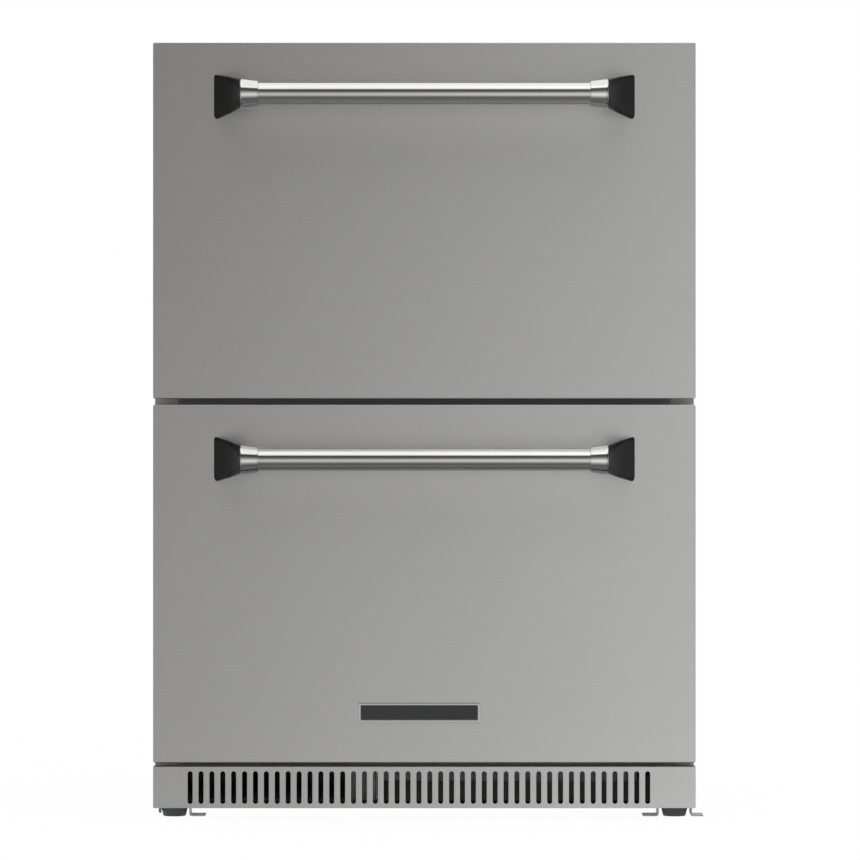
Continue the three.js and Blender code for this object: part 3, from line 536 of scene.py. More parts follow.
def plate_from_curve(bm, outline, holes, y0, y1, edge, resolution=6):
    """A flat plate in the XZ plane with holes and softly rounded edges, between y0 and y1."""
    cu = bpy.data.curves.new("plate", "CURVE")
    cu.dimensions = "2D"
    cu.fill_mode = "BOTH"
    for loop in [outline, *holes]:
        s = cu.splines.new("POLY")
        s.points.add(len(loop) - 1)
        for p, (u, v) in zip(s.points, loop):
            p.co = (u, v, 0, 1)
        s.use_cyclic_u = True
    cu.extrude = (y1 - y0) / 2 - edge
    cu.bevel_depth = edge
    cu.bevel_resolution = 1
    cu.offset = -edge
    ob = bpy.data.objects.new("plate", cu)
    scene.collection.objects.link(ob)
    me = bpy.data.meshes.new_from_object(ob.evaluated_get(bpy.context.evaluated_depsgraph_get()))
    me.transform(Matrix.Translation((0, (y0 + y1) / 2, 0)) @ Matrix.Rotation(math.radians(90), 4, "X"))
    bm.from_mesh(me)
    bpy.data.objects.remove(ob)
    bpy.data.curves.remove(cu)
    bpy.data.meshes.remove(me)


def stadium(x, z0, z1, r, n=8):
    return arc(x, z1 - r, r, 0, 180, n) + arc(x, z0 + r, r, 180, 360, n)


def screw_head(bm, axis, sign, pos, r=0.004, h=0.0022):
    """Domed head, standing on a face that looks along sign * axis."""
    i = "xyz".index(axis)
    others = [k for k in range(3) if k != i]
    c = (pos[others[0]], pos[others[1]])
    base = pos[i]
    prof = [(r, base), (r, base + sign * h * 0.35), (r * 0.86, base + sign * h * 0.78), (r * 0.55, base + sign * h), (r * 0.02, base + sign * h * 1.02)]
    add_lathe(bm, axis, c, prof, 20)


# ------------------------------------------------- pieces carried over from CAD

def carry(name, mat, width=0.0004, segments=2):
    ob = NODES[name]
    ob.data.materials.clear()
    ob.data.materials.append(mat)
    if "UVMap" not in ob.data.uv_layers:
        planar_uv(ob.data)
    w = ob.modifiers.new("weld", "WELD")
    w.merge_threshold = 1e-6
    if width:
        bevel(ob, width, segments)
    return ob


for n in ("side_panel_left", "side_panel_right", "top_panel"):
    carry(n, CABINET, 0.0004)
carry("back_panel", GALV, 0.0003)
carry("base_pan", PAN, 0.0003)
carry("base_deck", DUCT_RAIL, 0.0003)
carry("air_divider", DIVIDER, 0.0003)
carry("rear_machine_cover", GALV, 0.0002, 1)
carry("grille_frame", CARRIER, 0.0003)
carry("insulation_foam", FOAM, 0)
carry("mullion_bar", MULLION, 0.0004)
for level in ("upper", "lower"):
    for member in ("outer", "middle", "inner"):
        for side in ("left", "right"):
            carry(f"{level}_slide_{member}_{side}", SLIDE, 0.0004)


# ------------------------------------------------------------- drawer fronts

def front_skin(level):
    lo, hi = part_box(f"{level}_front_skin")
    edge = 0.95 * MM
    bm = bmesh.new()
    def ring(i, y):
        return [(u, y, v) for u, v in rr(lo.x + i, hi.x - i, lo.z + i, hi.z - i, 1.9 * MM - i * 0.6, 6)]
    rings = [ring(0, hi.y), ring(0, lo.y + edge)]
    for a in (15, 30, 45, 60, 75, 90):
        c, s = math.cos(math.radians(a)), math.sin(math.radians(a))
        rings.append(ring(edge * (1 - c), lo.y + edge * (1 - s)))
    add_rings(bm, rings, cap_start=False)
    ob = to_object(f"{level}_front", bm, FRONT, f"{level}_drawer", [f"{level}_front_skin"], 40)
    solidify(ob, 1.0 * MM)
    return ob


def inner_panel(level):
    """Moulded back of a drawer front: a plate with a raised plug."""
    lo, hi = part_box(f"{level}_inner_panel")
    lower = level == "lower"
    pz0, pz1 = (0.108, 0.440) if lower else (0.495, 0.822)
    px = 0.254
    yb = hi.y            # back of the plug
    yp = lo.y + 2.6 * MM  # plate's rear face
    bm = bmesh.new()
    n = 6
    def ring(inset, y, r, x=px, z0=pz0, z1=pz1):
        return [(u, y, v) for u, v in rr(-x + inset, x - inset, z0 + inset, z1 - inset, r, n)]
    plate = lambda inset, y: [(u, y, v) for u, v in rr(lo.x + inset, hi.x - inset, lo.z + inset, hi.z - inset, 1.5 * MM, n)]
    rings = [plate(0.3 * MM, lo.y), plate(0, lo.y + 0.3 * MM), plate(0, yp - 0.4 * MM), plate(0.4 * MM, yp)]
    rings.append(ring(-3 * MM, yp, 14 * MM))
    rings.append(ring(-1 * MM, yp + 0.8 * MM, 13 * MM))
    rings.append(ring(0, yp + 3 * MM, 12 * MM))
    for a in (0, 22, 45, 67, 90):
        c, s = math.cos(math.radians(a)), math.sin(math.radians(a))
        rings.append(ring(6 * MM * (1 - c) + 0.6 * MM, yb - 6 * MM * (1 - s), 12 * MM))
    # a shallow dished field inside a border
    rings.append(ring(26 * MM, yb, 10 * MM))
    rings.append(ring(29 * MM, yb - 2.0 * MM, 9 * MM))
    rings.append(ring(34 * MM, yb - 2.6 * MM, 8 * MM))
    add_rings(bm, rings)
    ob = to_object(f"{level}_panel", bm, LINER, f"{level}_drawer", [f"{level}_inner_panel"], 50)
    return ob


def gasket(level):
    """Magnetic gasket: a bellows with a flat magnet pocket, mitred round the front."""
    lo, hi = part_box(f"{level}_gasket")
    band = 15 * MM
    # section: (distance in from the outer edge, y)
    d = hi.y - lo.y
    sec = [
        (3.2, 0.0), (2.6, 1.2), (1.0, 1.8), (0.5, 2.8), (1.2, 3.9), (2.6, 4.5), (1.4, 5.2), (0.3, 6.2), (0.0, 7.4), (0.6, 8.4), (1.6, 8.7),
        (9.6, 8.7), (10.6, 8.3), (10.9, 7.2), (10.4, 6.0), (11.6, 5.0), (13.4, 4.6), (14.6, 3.8), (15.0, 2.6), (14.4, 1.6), (12.8, 1.1), (11.8, 0.0),
    ]
    bm = bmesh.new()
    rings = []
    for inset, y in sec:
        i = inset * MM
        rings.append([(u, lo.y + y / 8.7 * d, v) for u, v in rr(lo.x + i, hi.x - i, lo.z + i, hi.z - i, max(6 * MM - i * 0.2, 1 * MM), 3)])
    rows = [[bm.verts.new(p) for p in ring] for ring in rings]
    k = len(rows)
    n = len(rows[0])
    for a in range(k):
        b = (a + 1) % k
        for i in range(n):
            j = (i + 1) % n
            bm.faces.new((rows[a][i], rows[a][j], rows[b][j], rows[b][i]))
    return to_object(f"{level}_seal", bm, RUBBER, f"{level}_drawer", [f"{level}_gasket"], 60)


# ------------------------------------------------------------------- handles

def handle(level):
    body = f"{level}_drawer"
    lo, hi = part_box(f"{level}_handle_bar")
    yb, zb = (lo.y + hi.y) / 2, (lo.z + hi.z) / 2
    r = (hi.z - lo.z) / 2
    front_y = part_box(f"{level}_front_skin")[0].y
    bm = bmesh.new()
    xs = [lo.x, lo.x + 0.5 * MM] + [lo.x + (hi.x - lo.x) * i / 12 for i in range(1, 12)] + [hi.x - 0.5 * MM, hi.x]
    prof = [(r - 0.5 * MM if i in (0, len(xs) - 1) else r, x) for i, x in enumerate(xs)]
    add_lathe(bm, "x", (yb, zb), prof, 96)
    to_object(f"{level}_bar", bm, BAR, body, [f"{level}_handle_bar"], 40, flat=False)

    for side, sx in (("left", -1), ("right", 1)):
        plo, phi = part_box(f"{level}_handle_post_{side}")
        x_out = (-plo.x if sx < 0 else phi.x)         # foot's outer edge
        x_in = (-phi.x if sx < 0 else plo.x)          # collar's inner end
        half = (phi.z - plo.z) / 2
        x_col = 203.6 * MM
        R1, R0 = 17.15 * MM, 14.65 * MM
        N = 24                                        # points in a quarter
        def circle(x, rad):
            pts = rr(-rad, rad, -rad, rad, rad - 1e-6, N)
            return [(sx * x, yb - u, zb + v) for u, v in pts]
        bm = bmesh.new()
        rings = []
        # socket, from its floor out to the mouth, then over the collar
        rings += [circle(x_in + 12 * MM, 12.75 * MM), circle(x_in + 0.6 * MM, 12.75 * MM), circle(x_in, 13.1 * MM)]
        slope = (R1 - R0) / (x_col - x_in)
        for d, drop in ((0.0, 0.42), (0.1, 0.2), (0.26, 0.06), (0.45, 0.0), (0.75, 0.0)):
            rings.append(circle(x_in + d * MM, R0 + slope * d * MM - drop * MM))
        L = x_col - x_in
        for t in (0.2, 0.4, 0.6, 0.8):
            rings.append(circle(x_in + L * t, R0 + (R1 - R0) * t))
        for d, drop in ((2.9, 0.0), (2.3, 0.0), (1.5, 0.12), (0.9, 0.34), (0.4, 0.72), (0.1, 1.2), (0.0, 1.7)):
            rings.append(circle(x_col - d * MM, R1 - slope * d * MM - drop * MM))
        # the groove where the collar meets the flare
        rings.append(circle(x_col + 0.25 * MM, R1 - 1.75 * MM))
        # the flare: a circle that opens into the foot while it turns to the front;
        # the foot is taller at its outer edge
        y_foot = front_y - 0.3 * MM
        half_in = 14.2 * MM
        steps = 30
        R = R1 - 0.9 * MM
        def section(t):
            hollow = 4 * t * (1 - t)
            inner = (x_col + 0.3 * MM + (207 * MM - x_col) * t * t, yb + R + (y_foot - yb - R) * t)
            outer = (
                x_col + 0.3 * MM + (x_out - x_col - 0.3 * MM) * t - 2.0 * MM * hollow,
                yb - R + (y_foot - yb + R) * t + 1.2 * MM * hollow,
            )
            a = math.hypot(outer[0] - inner[0], outer[1] - inner[1]) / 2
            k = min(1.0, 1.7 * t) ** 0.7
            def rad(end):
                return min(R + (end * MM - R) * k, a - 1e-6, R - 1e-6)
            radii = (rad(1.4), rad(1.4), rad(3.2), rad(5.0))
            ring = []
            for u, v in rr4(-a, a, -R, R, radii, N):
                q = (u + a) / (2 * a)     # 0 at the outer edge, 1 at the inner
                x = outer[0] + (inner[0] - outer[0]) * q
                y = outer[1] + (inner[1] - outer[1]) * q
                # the outer edge grows while the inner one shrinks
                grow = ((half * (1.055 if v > 0 else 1.065) - R) * (1 - q) + (half_in - R) * q) * t
                v *= (R + grow) / R
                ring.append((sx * x, y, zb + max(-half, min(half, v))))
            return ring
        for i in range(steps + 1):
            rings.append(section(i / steps))
        add_rings(bm, rings)
        for f in bm.faces:
            f.material_index = 1 if abs(f.calc_center_median().x) > x_col + 0.15 * MM else 0
        to_object(f"{level}_post_{side}", bm, [CHROME, FLARE_PAINTED_DARK], body, [f"{level}_handle_post_{side}"], 28, flat=False)


def badge():
    """Plain name-plate blank: a bright frame round a dark field."""
    lo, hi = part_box("badge_plate")
    bm = bmesh.new()
    def ring(i, y, r):
        return [(u, y, v) for u, v in rr(lo.x + i, hi.x - i, lo.z + i, hi.z - i, max(r, 0.3 * MM), 6)]
    back, front = hi.y, lo.y
    rings = [ring(0, back, 2 * MM), ring(0, front + 0.5 * MM, 2 * MM), ring(0.15 * MM, front + 0.15 * MM, 1.9 * MM), ring(0.5 * MM, front, 1.7 * MM),
             ring(2.0 * MM, front, 1.2 * MM), ring(2.3 * MM, front + 0.12 * MM, 1.1 * MM), ring(2.5 * MM, front + 0.6 * MM, 1.0 * MM)]
    add_rings(bm, rings)
    to_object("badge", bm, BADGE, "lower_drawer", ["badge_plate"], 30)
    bm = bmesh.new()
    rings = [ring(2.6 * MM, front + 0.62 * MM, 1.0 * MM), ring(2.6 * MM, front + 0.45 * MM, 1.0 * MM), ring(2.8 * MM, front + 0.36 * MM, 0.9 * MM)]
    add_rings(bm, rings)
    to_object("badge_field", bm, BADGE_INSET, "lower_drawer", (), 30)


# ----------------------------------------------------------------- toe grille

def grille():
    lo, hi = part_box("toe_grille")
    r = 2.75 * MM
    holes = []
    for i in range(43):
        x = (-261.9 + 12.18 * i) * MM
        holes.append(stadium(x, 18.9 * MM, 55.2 * MM, r, 10)[::-1])
    bm = bmesh.new()
    outline = rr(lo.x, hi.x, lo.z, hi.z, 1.6 * MM, 5)
    plate_from_curve(bm, outline, holes, lo.y, hi.y, 0.28 * MM)
    to_object("grille", bm, FRONT, "cabinet", ["toe_grille"], 30)


# ------------------------------------------------------- legs and floor brackets

def leg(place):
    lo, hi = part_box(f"levelling_leg_{place}")
    cx, cy = (lo.x + hi.x) / 2, (lo.y + hi.y) / 2
    body = f"leg_{place}"
    bm = bmesh.new()
    prof = [(2.0, 0.0), (11.8, 0.0), (12.5, 0.22), (12.95, 0.9), (13.15, 2.0), (13.75, 4.6), (14.95, 9.2), (15.7, 12.2), (15.9, 13.2), (15.6, 14.2), (14.9, 14.8), (13.9, 15.0), (8.6, 15.0), (8.2, 14.6), (5.2, 14.6)]
    add_lathe(bm, "z", (cx, cy), [(a * MM, b * MM) for a, b in prof], 56)
    to_object(f"foot_{place}", bm, FOOT, body, [f"levelling_leg_{place}"], 45, flat=False)
    bm = bmesh.new()
    prof = [(4.2, 13.0), (4.2, 16.0)]
    z = 16.0
    while z < 56.0:
        prof += [(4.1, z), (4.8, z + 0.5), (4.8, z + 0.75), (4.1, z + 1.25)]
        z += 1.5
    prof += [(4.2, 57.0), (3.6, 58.0)]
    add_lathe(bm, "z", (cx, cy), [(a * MM, b * MM) for a, b in prof], 28)
    to_object(f"stem_{place}", bm, STEM, body, (), 25, flat=False)


def bent_strip(bm, path, t, y0, y1, bend=1.6 * MM):
    """A strip folded along a path in the XZ plane, with rounded bends."""
    pts = [Vector((u, v)) for u, v in path]
    smooth = [pts[0]]
    for a, b, c in zip(pts, pts[1:], pts[2:]):
        d0, d1 = (a - b).normalized(), (c - b).normalized()
        k = bend + t / 2
        p0, p1 = b + d0 * k, b + d1 * k
        for i in range(7):
            s = i / 6
            smooth.append(p0 * (1 - s) ** 2 + b * 2 * s * (1 - s) + p1 * s * s)
    smooth.append(pts[-1])
    left, right = [], []
    for i, p in enumerate(smooth):
        d = (smooth[min(i + 1, len(smooth) - 1)] - smooth[max(i - 1, 0)]).normalized()
        n = Vector((-d.y, d.x)) * (t / 2)
        left.append(p + n)
        right.append(p - n)
    ring = left + right[::-1]
    add_rings(bm, [[(p.x, y0, p.y) for p in ring], [(p.x, y1, p.y) for p in ring]], False, False)
    k = len(left)
    bm.verts.ensure_lookup_table()
    total = 2 * k
    base = len(bm.verts) - 2 * total
    for off in (base, base + total):
        for i in range(k - 1):
            bm.faces.new((bm.verts[off + i], bm.verts[off + i + 1], bm.verts[off + total - 2 - i], bm.verts[off + total - 1 - i]))


def bracket(side):
    name = f"anti_tip_bracket_{side}"
    lo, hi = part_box(name)
    t = (1.7 if side == "right" else 1.6) * MM
    h = t / 2
    if side == "right":
        path = [(lo.x, h), (264.2 * MM, h), (264.2 * MM, hi.z - h), (301.8 * MM, hi.z - h), (301.8 * MM, h), (hi.x, h)]
    else:
        path = [(lo.x + 0.6 * MM, 4.2 * MM), (lo.x + 0.6 * MM, hi.z - h), (-265.2 * MM, hi.z - h), (-265.2 * MM, h), (hi.x, h)]
    bm = bmesh.new()
    bent_strip(bm, path, t, lo.y, hi.y, 1.3 * MM)
    ob = to_object(f"bracket_{side}", bm, BRACKET, "cabinet", [name], 35)
    # slot for the leg's stem
    cutter_bm = bmesh.new()
    sx = 283 * MM * (1 if side == "right" else -1)
    ring = [(sx + 5.5 * MM * math.cos(a), -198.5 * MM + 5.5 * MM * math.sin(a)) for a in [math.pi + math.pi * i / 16 for i in range(17)]]
    ring += [(sx + 5.5 * MM, hi.y + 4 * MM), (sx - 5.5 * MM, hi.y + 4 * MM)]
    add_rings(cutter_bm, [[(x, y, 12 * MM) for x, y in ring], [(x, y, 22 * MM) for x, y in ring]])
    bmesh.ops.recalc_face_normals(cutter_bm, faces=cutter_bm.faces)
    me = bpy.data.meshes.new("cutter")
    cutter_bm.to_mesh(me)
    cutter_bm.free()
    cutter = bpy.data.objects.new("cutter", me)
    scene.collection.objects.link(cutter)
    mod = ob.modifiers.new("slot", "BOOLEAN")
    mod.object = cutter
    mod.solver = "EXACT"
    bpy.context.view_layer.update()
    result = bpy.data.meshes.new_from_object(ob.evaluated_get(bpy.context.evaluated_depsgraph_get()))
    ob.modifiers.remove(mod)
    ob.data = result
    bpy.data.objects.remove(cutter)
    bevel(ob, 0.25 * MM, 2, 50)
    if side == "left":
        # return turned inward from the lip's front edge, just clear of the foot
        bm = bmesh.new()
        bent_strip(bm, [(-298.5 * MM, 3.7 * MM), (-298.5 * MM, hi.z - 1.8 * MM)], 2.2 * MM, lo.y + 0.2 * MM, lo.y + 1.6 * MM, 0)
        bevel(to_object("bracket_left_return", bm, BRACKET, "cabinet", (), 35), 0.2 * MM, 2, 50)


# ---------------------------------------------------------------- liner, tubs

def liner():
    """Moulded liner with rounded inside corners and a flange round its mouth."""
    lo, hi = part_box("liner")
    X = 258 * MM
    yf = lo.y
    prof = [(yf, 102), (85, 102), (85, 345), (285, 345), (285, 830), (yf, 830)]
    prof = [(y if abs(y) < 1 else y * MM, z * MM) for y, z in prof]
    bm = bmesh.new()
    left = [bm.verts.new((-X, y, z)) for y, z in prof]
    right = [bm.verts.new((X, y, z)) for y, z in prof]
    for i in range(5):
        bm.faces.new((left[i], left[i + 1], right[i + 1], right[i]))
    # side walls, parted at the step so that no face is concave
    bm.faces.new((left[0], left[1], left[2], left[5]))
    bm.faces.new((left[2], left[3], left[4], left[5]))
    bm.faces.new((right[5], right[2], right[1], right[0]))
    bm.faces.new((right[5], right[4], right[3], right[2]))
    bmesh.ops.recalc_face_normals(bm, faces=bm.faces)
    sharp = [e for e in bm.edges if len(e.link_faces) == 2 and e.calc_face_angle(0) > 0.5]
    bmesh.ops.bevel(bm, geom=sharp, offset=13 * MM, segments=6, profile=0.5, affect="EDGES")
    # the flange: from the mouth outward to a square-cornered rim
    z_lo, z_hi = 102 * MM, 830 * MM
    r = 13 * MM
    def rim():
        return [e for e in bm.edges if len(e.link_faces) == 1 and all(abs(v.co.y - yf) < 1e-6 for v in e.verts)]
    # the upper corners come out as one straight edge each, so they are parted to have a middle
    straight = [e for e in rim() if 1.2 * r < e.calc_length() < 1.6 * r]
    bmesh.ops.subdivide_edges(bm, edges=straight, cuts=5)
    mouth = rim()
    grown = bmesh.ops.extrude_edge_only(bm, edges=mouth)["geom"]
    for v in [g for g in grown if isinstance(g, bmesh.types.BMVert)]:
        # how far along the corner's arc this point is: 0 at the side wall, 1 at the top or floor
        dx = (abs(v.co.x) - (X - r)) / r
        dz = (v.co.z - (z_hi - r)) / r if v.co.z > 0.4 else ((z_lo + r) - v.co.z) / r
        sx, top = math.copysign(1, v.co.x), v.co.z > 0.4
        z_rim, z_in = (hi.z, z_hi - r) if top else (lo.z, z_lo + r)
        if dx > 1e-4 and dz > 1e-4:
            q = math.atan2(dz, dx) / (math.pi / 2)
            if q <= 0.5:
                v.co.x, v.co.z = sx * hi.x, z_in + (z_rim - z_in) * q * 2
            else:
                v.co.x, v.co.z = sx * (hi.x + (X - r - hi.x) * (q * 2 - 1)), z_rim
        elif dx > dz:
            v.co.x = sx * hi.x
        else:
            v.co.z = z_rim
    bmesh.ops.recalc_face_normals(bm, faces=bm.faces)
    ob = to_object("liner_shell", bm, LINER, "cabinet", ["liner"], 45)
    return ob


def tub(level):
    lo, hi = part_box(f"{level}_tub")
    rim = 10 * MM
    x, y0, y1 = hi.x - rim, lo.y, hi.y - rim / 2
    z0, z1 = lo.z, hi.z
    draft = 1.5 * MM
    n = 8
    def ring(grow, z, r):
        return [(u, v, z) for u, v in rr(-x - grow, x + grow, y0 - min(grow, 0), y1 + grow, max(r, 1 * MM), n)]
    def wall(grow, z, r):
        return [(u, v, z) for u, v in rr(-x - grow, x + grow, y0 - grow, y1 + grow, max(r, 1 * MM), n)]
    bm = bmesh.new()
    rings = []
    rb = 9 * MM
    rings.append(wall(-40 * MM, z0 + 0.5 * MM, 6 * MM))
    for a in (0, 18, 36, 54, 72, 90):
        s, c = math.sin(math.radians(a)), math.cos(math.radians(a))
        rings.append(wall(-rb * (1 - s) - draft, z0 + rb * (1 - c), 14 * MM))
    rings.append(wall(-draft * 0.5, (z0 + z1) / 2, 14 * MM))
    rings.append(wall(-0.2 * MM, z1 - 8 * MM, 14 * MM))
    rings.append(wall(0, z1 - 3 * MM, 14 * MM))
    # rolled rim, outward at the sides and back
    rings.append(ring(0.8 * MM, z1 - 0.9 * MM, 14 * MM))
    rings.append(ring(2.4 * MM, z1 - 0.2 * MM, 15 * MM))
    rings.append(ring(7.4 * MM, z1, 17 * MM))
    rings.append(ring(9.2 * MM, z1 - 0.4 * MM, 18 * MM))
    rings.append(ring(9.8 * MM, z1 - 1.6 * MM, 18 * MM))
    rings.append(ring(9.6 * MM, z1 - 3.4 * MM, 18 * MM))
    rows = [[bm.verts.new(p) for p in r_] for r_ in rings]
    k = len(rows[0])
    for a, b in zip(rows, rows[1:]):
        for i in range(k):
            j = (i + 1) % k
            bm.faces.new((a[i], a[j], b[j], b[i]))
    bm.faces.new(rows[0][::-1])
    ob = to_object(f"{level}_bin", bm, TUB, f"{level}_drawer", [f"{level}_tub"], 50)
    # keep the clamped front edge of the rim in the box, then give the sheet its thickness inward
    solidify(ob, 1.2 * MM, 1.0)
    return ob


# ---------------------------------------------------------- fittings and cooling

def control_panel():
    lo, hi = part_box("control_housing")
    bm = bmesh.new()
    w = hi.x
    prof = [(lo.y, lo.z + 3.4 * MM), (lo.y + 0.6 * MM, lo.z + 1.4 * MM), (lo.y + 2.2 * MM, lo.z + 0.3 * MM), (lo.y + 4 * MM, lo.z), (hi.y - 9 * MM, lo.z), (hi.y - 6.5 * MM, lo.z + 1 * MM), (hi.y - 1 * MM, lo.z + 7 * MM), (hi.y, lo.z + 9.5 * MM), (hi.y, hi.z), (lo.y, hi.z)]
    rings = []
    for x in (-w, w):
        rings.append([(x, y, z) for y, z in prof])
    add_rings(bm, rings)
    ob = to_object("control_case", bm, BLACK, "cabinet", ["control_housing"], 25)
    # pockets for the buttons and the window between them
    cb = bmesh.new()
    for x in (-0.046, 0.046):
        add_lathe(cb, "y", (x, 0.818), [(7 * MM, lo.y - 2 * MM), (7 * MM, lo.y + 8 * MM)], 40)
    rounded = [(u, v) for u, v in rr(-28 * MM, 28 * MM, 809.5 * MM, 826 * MM, 2.5 * MM, 6)]
    add_rings(cb, [[(u, lo.y - 2 * MM, v) for u, v in rounded], [(u, lo.y + 1.2 * MM, v) for u, v in rounded]])
    bmesh.ops.recalc_face_normals(cb, faces=cb.faces)
    me = bpy.data.meshes.new("cutter")
    cb.to_mesh(me)
    cb.free()
    cutter = bpy.data.objects.new("cutter", me)
    scene.collection.objects.link(cutter)
    mod = ob.modifiers.new("pockets", "BOOLEAN")
    mod.object = cutter
    mod.solver = "EXACT"
    bpy.context.view_layer.update()
    result = bpy.data.meshes.new_from_object(ob.evaluated_get(bpy.context.evaluated_depsgraph_get()))
    ob.modifiers.remove(mod)
    ob.data = result
    bpy.data.objects.remove(cutter)
    bevel(ob, 0.35 * MM, 2, 40)
    bm = bmesh.new()
    g = rr(-27.6 * MM, 27.6 * MM, 809.9 * MM, 825.6 * MM, 2.3 * MM, 6)
    add_rings(bm, [[(u, lo.y + 1.1 * MM, v) for u, v in g], [(u, lo.y + 0.5 * MM, v) for u, v in g], [(u * 0.99, lo.y + 0.25 * MM, 817.75 * MM + (v - 817.75 * MM) * 0.97) for u, v in g]])
    to_object("control_window", bm, GLASS, "cabinet", (), 30)
    for b in ("power", "set"):
        blo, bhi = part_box(f"control_button_{b}")
        cx, cz = (blo.x + bhi.x) / 2, (blo.z + bhi.z) / 2
        y = blo.y
        bm = bmesh.new()
        prof = [(0.3, 0.35), (2.5, 0.3), (4.2, 0.12), (5.2, 0.0), (6.0, 0.25), (6.45, 0.8), (6.6, 1.6), (6.6, 6.9), (6.2, 7.3)]
        add_lathe(bm, "y", (cx, cz), [(a * MM, y + h * MM) for a, h in prof], 48)
        to_object(f"button_{b}_cap", bm, BUTTON, f"button_{b}", [f"control_button_{b}"], 50)


def lamp():
    lo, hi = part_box("lamp_lens")
    bm = bmesh.new()
    cy = (lo.y + hi.y) / 2
    half = (hi.y - lo.y) / 2
    prof = [(cy + half * math.cos(math.radians(a)), hi.z - (hi.z - lo.z) * math.sin(math.radians(a)) ** 0.7) for a in range(0, 181, 12)]
    rings = []
    for x, k in ((lo.x, 0.55), (lo.x + 1.5 * MM, 0.85), (lo.x + 4 * MM, 1.0), (hi.x - 4 * MM, 1.0), (hi.x - 1.5 * MM, 0.85), (hi.x, 0.55)):
        rings.append([(x, cy + (y - cy) * (0.5 + 0.5 * k), hi.z - (hi.z - z) * k) for y, z in prof])
    add_rings(bm, rings)
    to_object("lamp", bm, LENS, "cabinet", ["lamp_lens"], 40)


def evaporator():
    lo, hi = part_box("evaporator_cover")
    fx, fz = 0.0, 0.730
    bm = bmesh.new()
    holes = []
    # fan guard: rings of short curved slots
    for r0, r1, n in ((11, 17, 3), (20, 26, 6), (29, 35, 8), (37.5, 41.5, 12)):
        for i in range(n):
            a0, a1 = 360 * i / n + 200 / (r1 + 8), 360 * (i + 1) / n - 200 / (r1 + 8)
            loop = arc(fx, fz, r1 * MM, a0, a1, 8) + arc(fx, fz, r0 * MM, a1, a0, 8)
            holes.append(loop[::-1])
    for i in range(6):
        z = (494 + i * 13) * MM
        for x0, x1 in ((-140, -52), (-44, 44), (52, 140)):
            holes.append(rr(x0 * MM, x1 * MM, z, z + 6 * MM, 2.9 * MM, 4)[::-1])
    plate_from_curve(bm, rr(lo.x, hi.x, lo.z, hi.z, 14 * MM, 8), holes, lo.y, lo.y + 2.4 * MM, 0.5 * MM)
    to_object("evaporator_front", bm, LINER, "cabinet", ["evaporator_cover"], 30)
    bm = bmesh.new()
    def ring(i, y):
        return [(u, y, v) for u, v in rr(lo.x + i, hi.x - i, lo.z + i, hi.z - i, 14 * MM - i, 8)]
    rows = [[bm.verts.new(p) for p in r] for r in (ring(0, lo.y + 1.2 * MM), ring(0, hi.y - 3 * MM), ring(-0.0 * MM, hi.y), ring(2 * MM, hi.y), ring(2 * MM, lo.y + 1.2 * MM))]
    k = len(rows[0])
    for a in range(len(rows)):
        b = (a + 1) % len(rows)
        for i in range(k):
            j = (i + 1) % k
            if rows[a][i] is rows[b][i]:
                continue
            bm.faces.new((rows[a][i], rows[a][j], rows[b][j], rows[b][i]))
    to_object("evaporator_sides", bm, LINER, "cabinet", (), 40)
    # motor on its strut
    bm = bmesh.new()
    rounded_box(bm, lo.x + 1 * MM, hi.x - 1 * MM, 0.2632, 0.2658, fz - 7 * MM, fz + 7 * MM, 0.5 * MM, 2)
    add_lathe(bm, "y", (fx, fz), [(a * MM, h * MM) for a, h in ((3, 256), (12, 256), (14.2, 256.6), (15, 258), (15, 273), (14, 275.4), (11, 276), (3, 276))], 48)
    to_object("evaporator_motor", bm, BLACK, "cabinet", (), 40)
    # coil
    lo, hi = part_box("evaporator_coil")
    finned("evaporator", "evaporator_coil", "x", lo, hi, [0.520, 0.560, 0.600, 0.640], 4.6 * MM, -0.148, 0.148, 0.258, (0.243, 0.273, 0.503, 0.657), 4.2 * MM, FIN, FIN)


def finned(label, node, axis, lo, hi, levels, r, a0, a1, centre, fin, pitch, tube_mat, fin_mat):
    """A serpentine tube through many thin fins."""
    bm = bmesh.new()
    pts = []
    for i, z in enumerate(levels):
        ends = (a0, a1) if i % 2 == 0 else (a1, a0)
        pts.append((ends[0], z))
        pts.append((ends[1], z))
        if i + 1 < len(levels):
            rad = (levels[i + 1] - z) / 2
            s = 1 if i % 2 == 0 else -1
            for k in range(1, 9):
                a = -90 + 180 * k / 9
                pts.append((ends[1] + s * rad * math.cos(math.radians(a)), z + rad + rad * math.sin(math.radians(a))))
    place = (lambda u, z: (u, centre, z)) if axis == "x" else (lambda u, z: (centre, u, z))
    add_tube(bm, [place(u, z) for u, z in pts], r, 14)
    to_object(f"{label}_tube", bm, tube_mat, "cabinet", [node], 40)
    bm = bmesh.new()
    n = int((a1 - a0 - 8 * MM) / pitch)
    c0, c1, z0, z1 = fin
    for i in range(n + 1):
        u = a0 + 4 * MM + i * pitch
        t = 0.22 * MM
        if axis == "x":
            add_box(bm, u - t, u + t, c0, c1, z0, z1)
        else:
            add_box(bm, c0, c1, u - t, u + t, z0, z1)
    to_object(f"{label}_fins", bm, fin_mat, "cabinet", (), 30, merge=False)


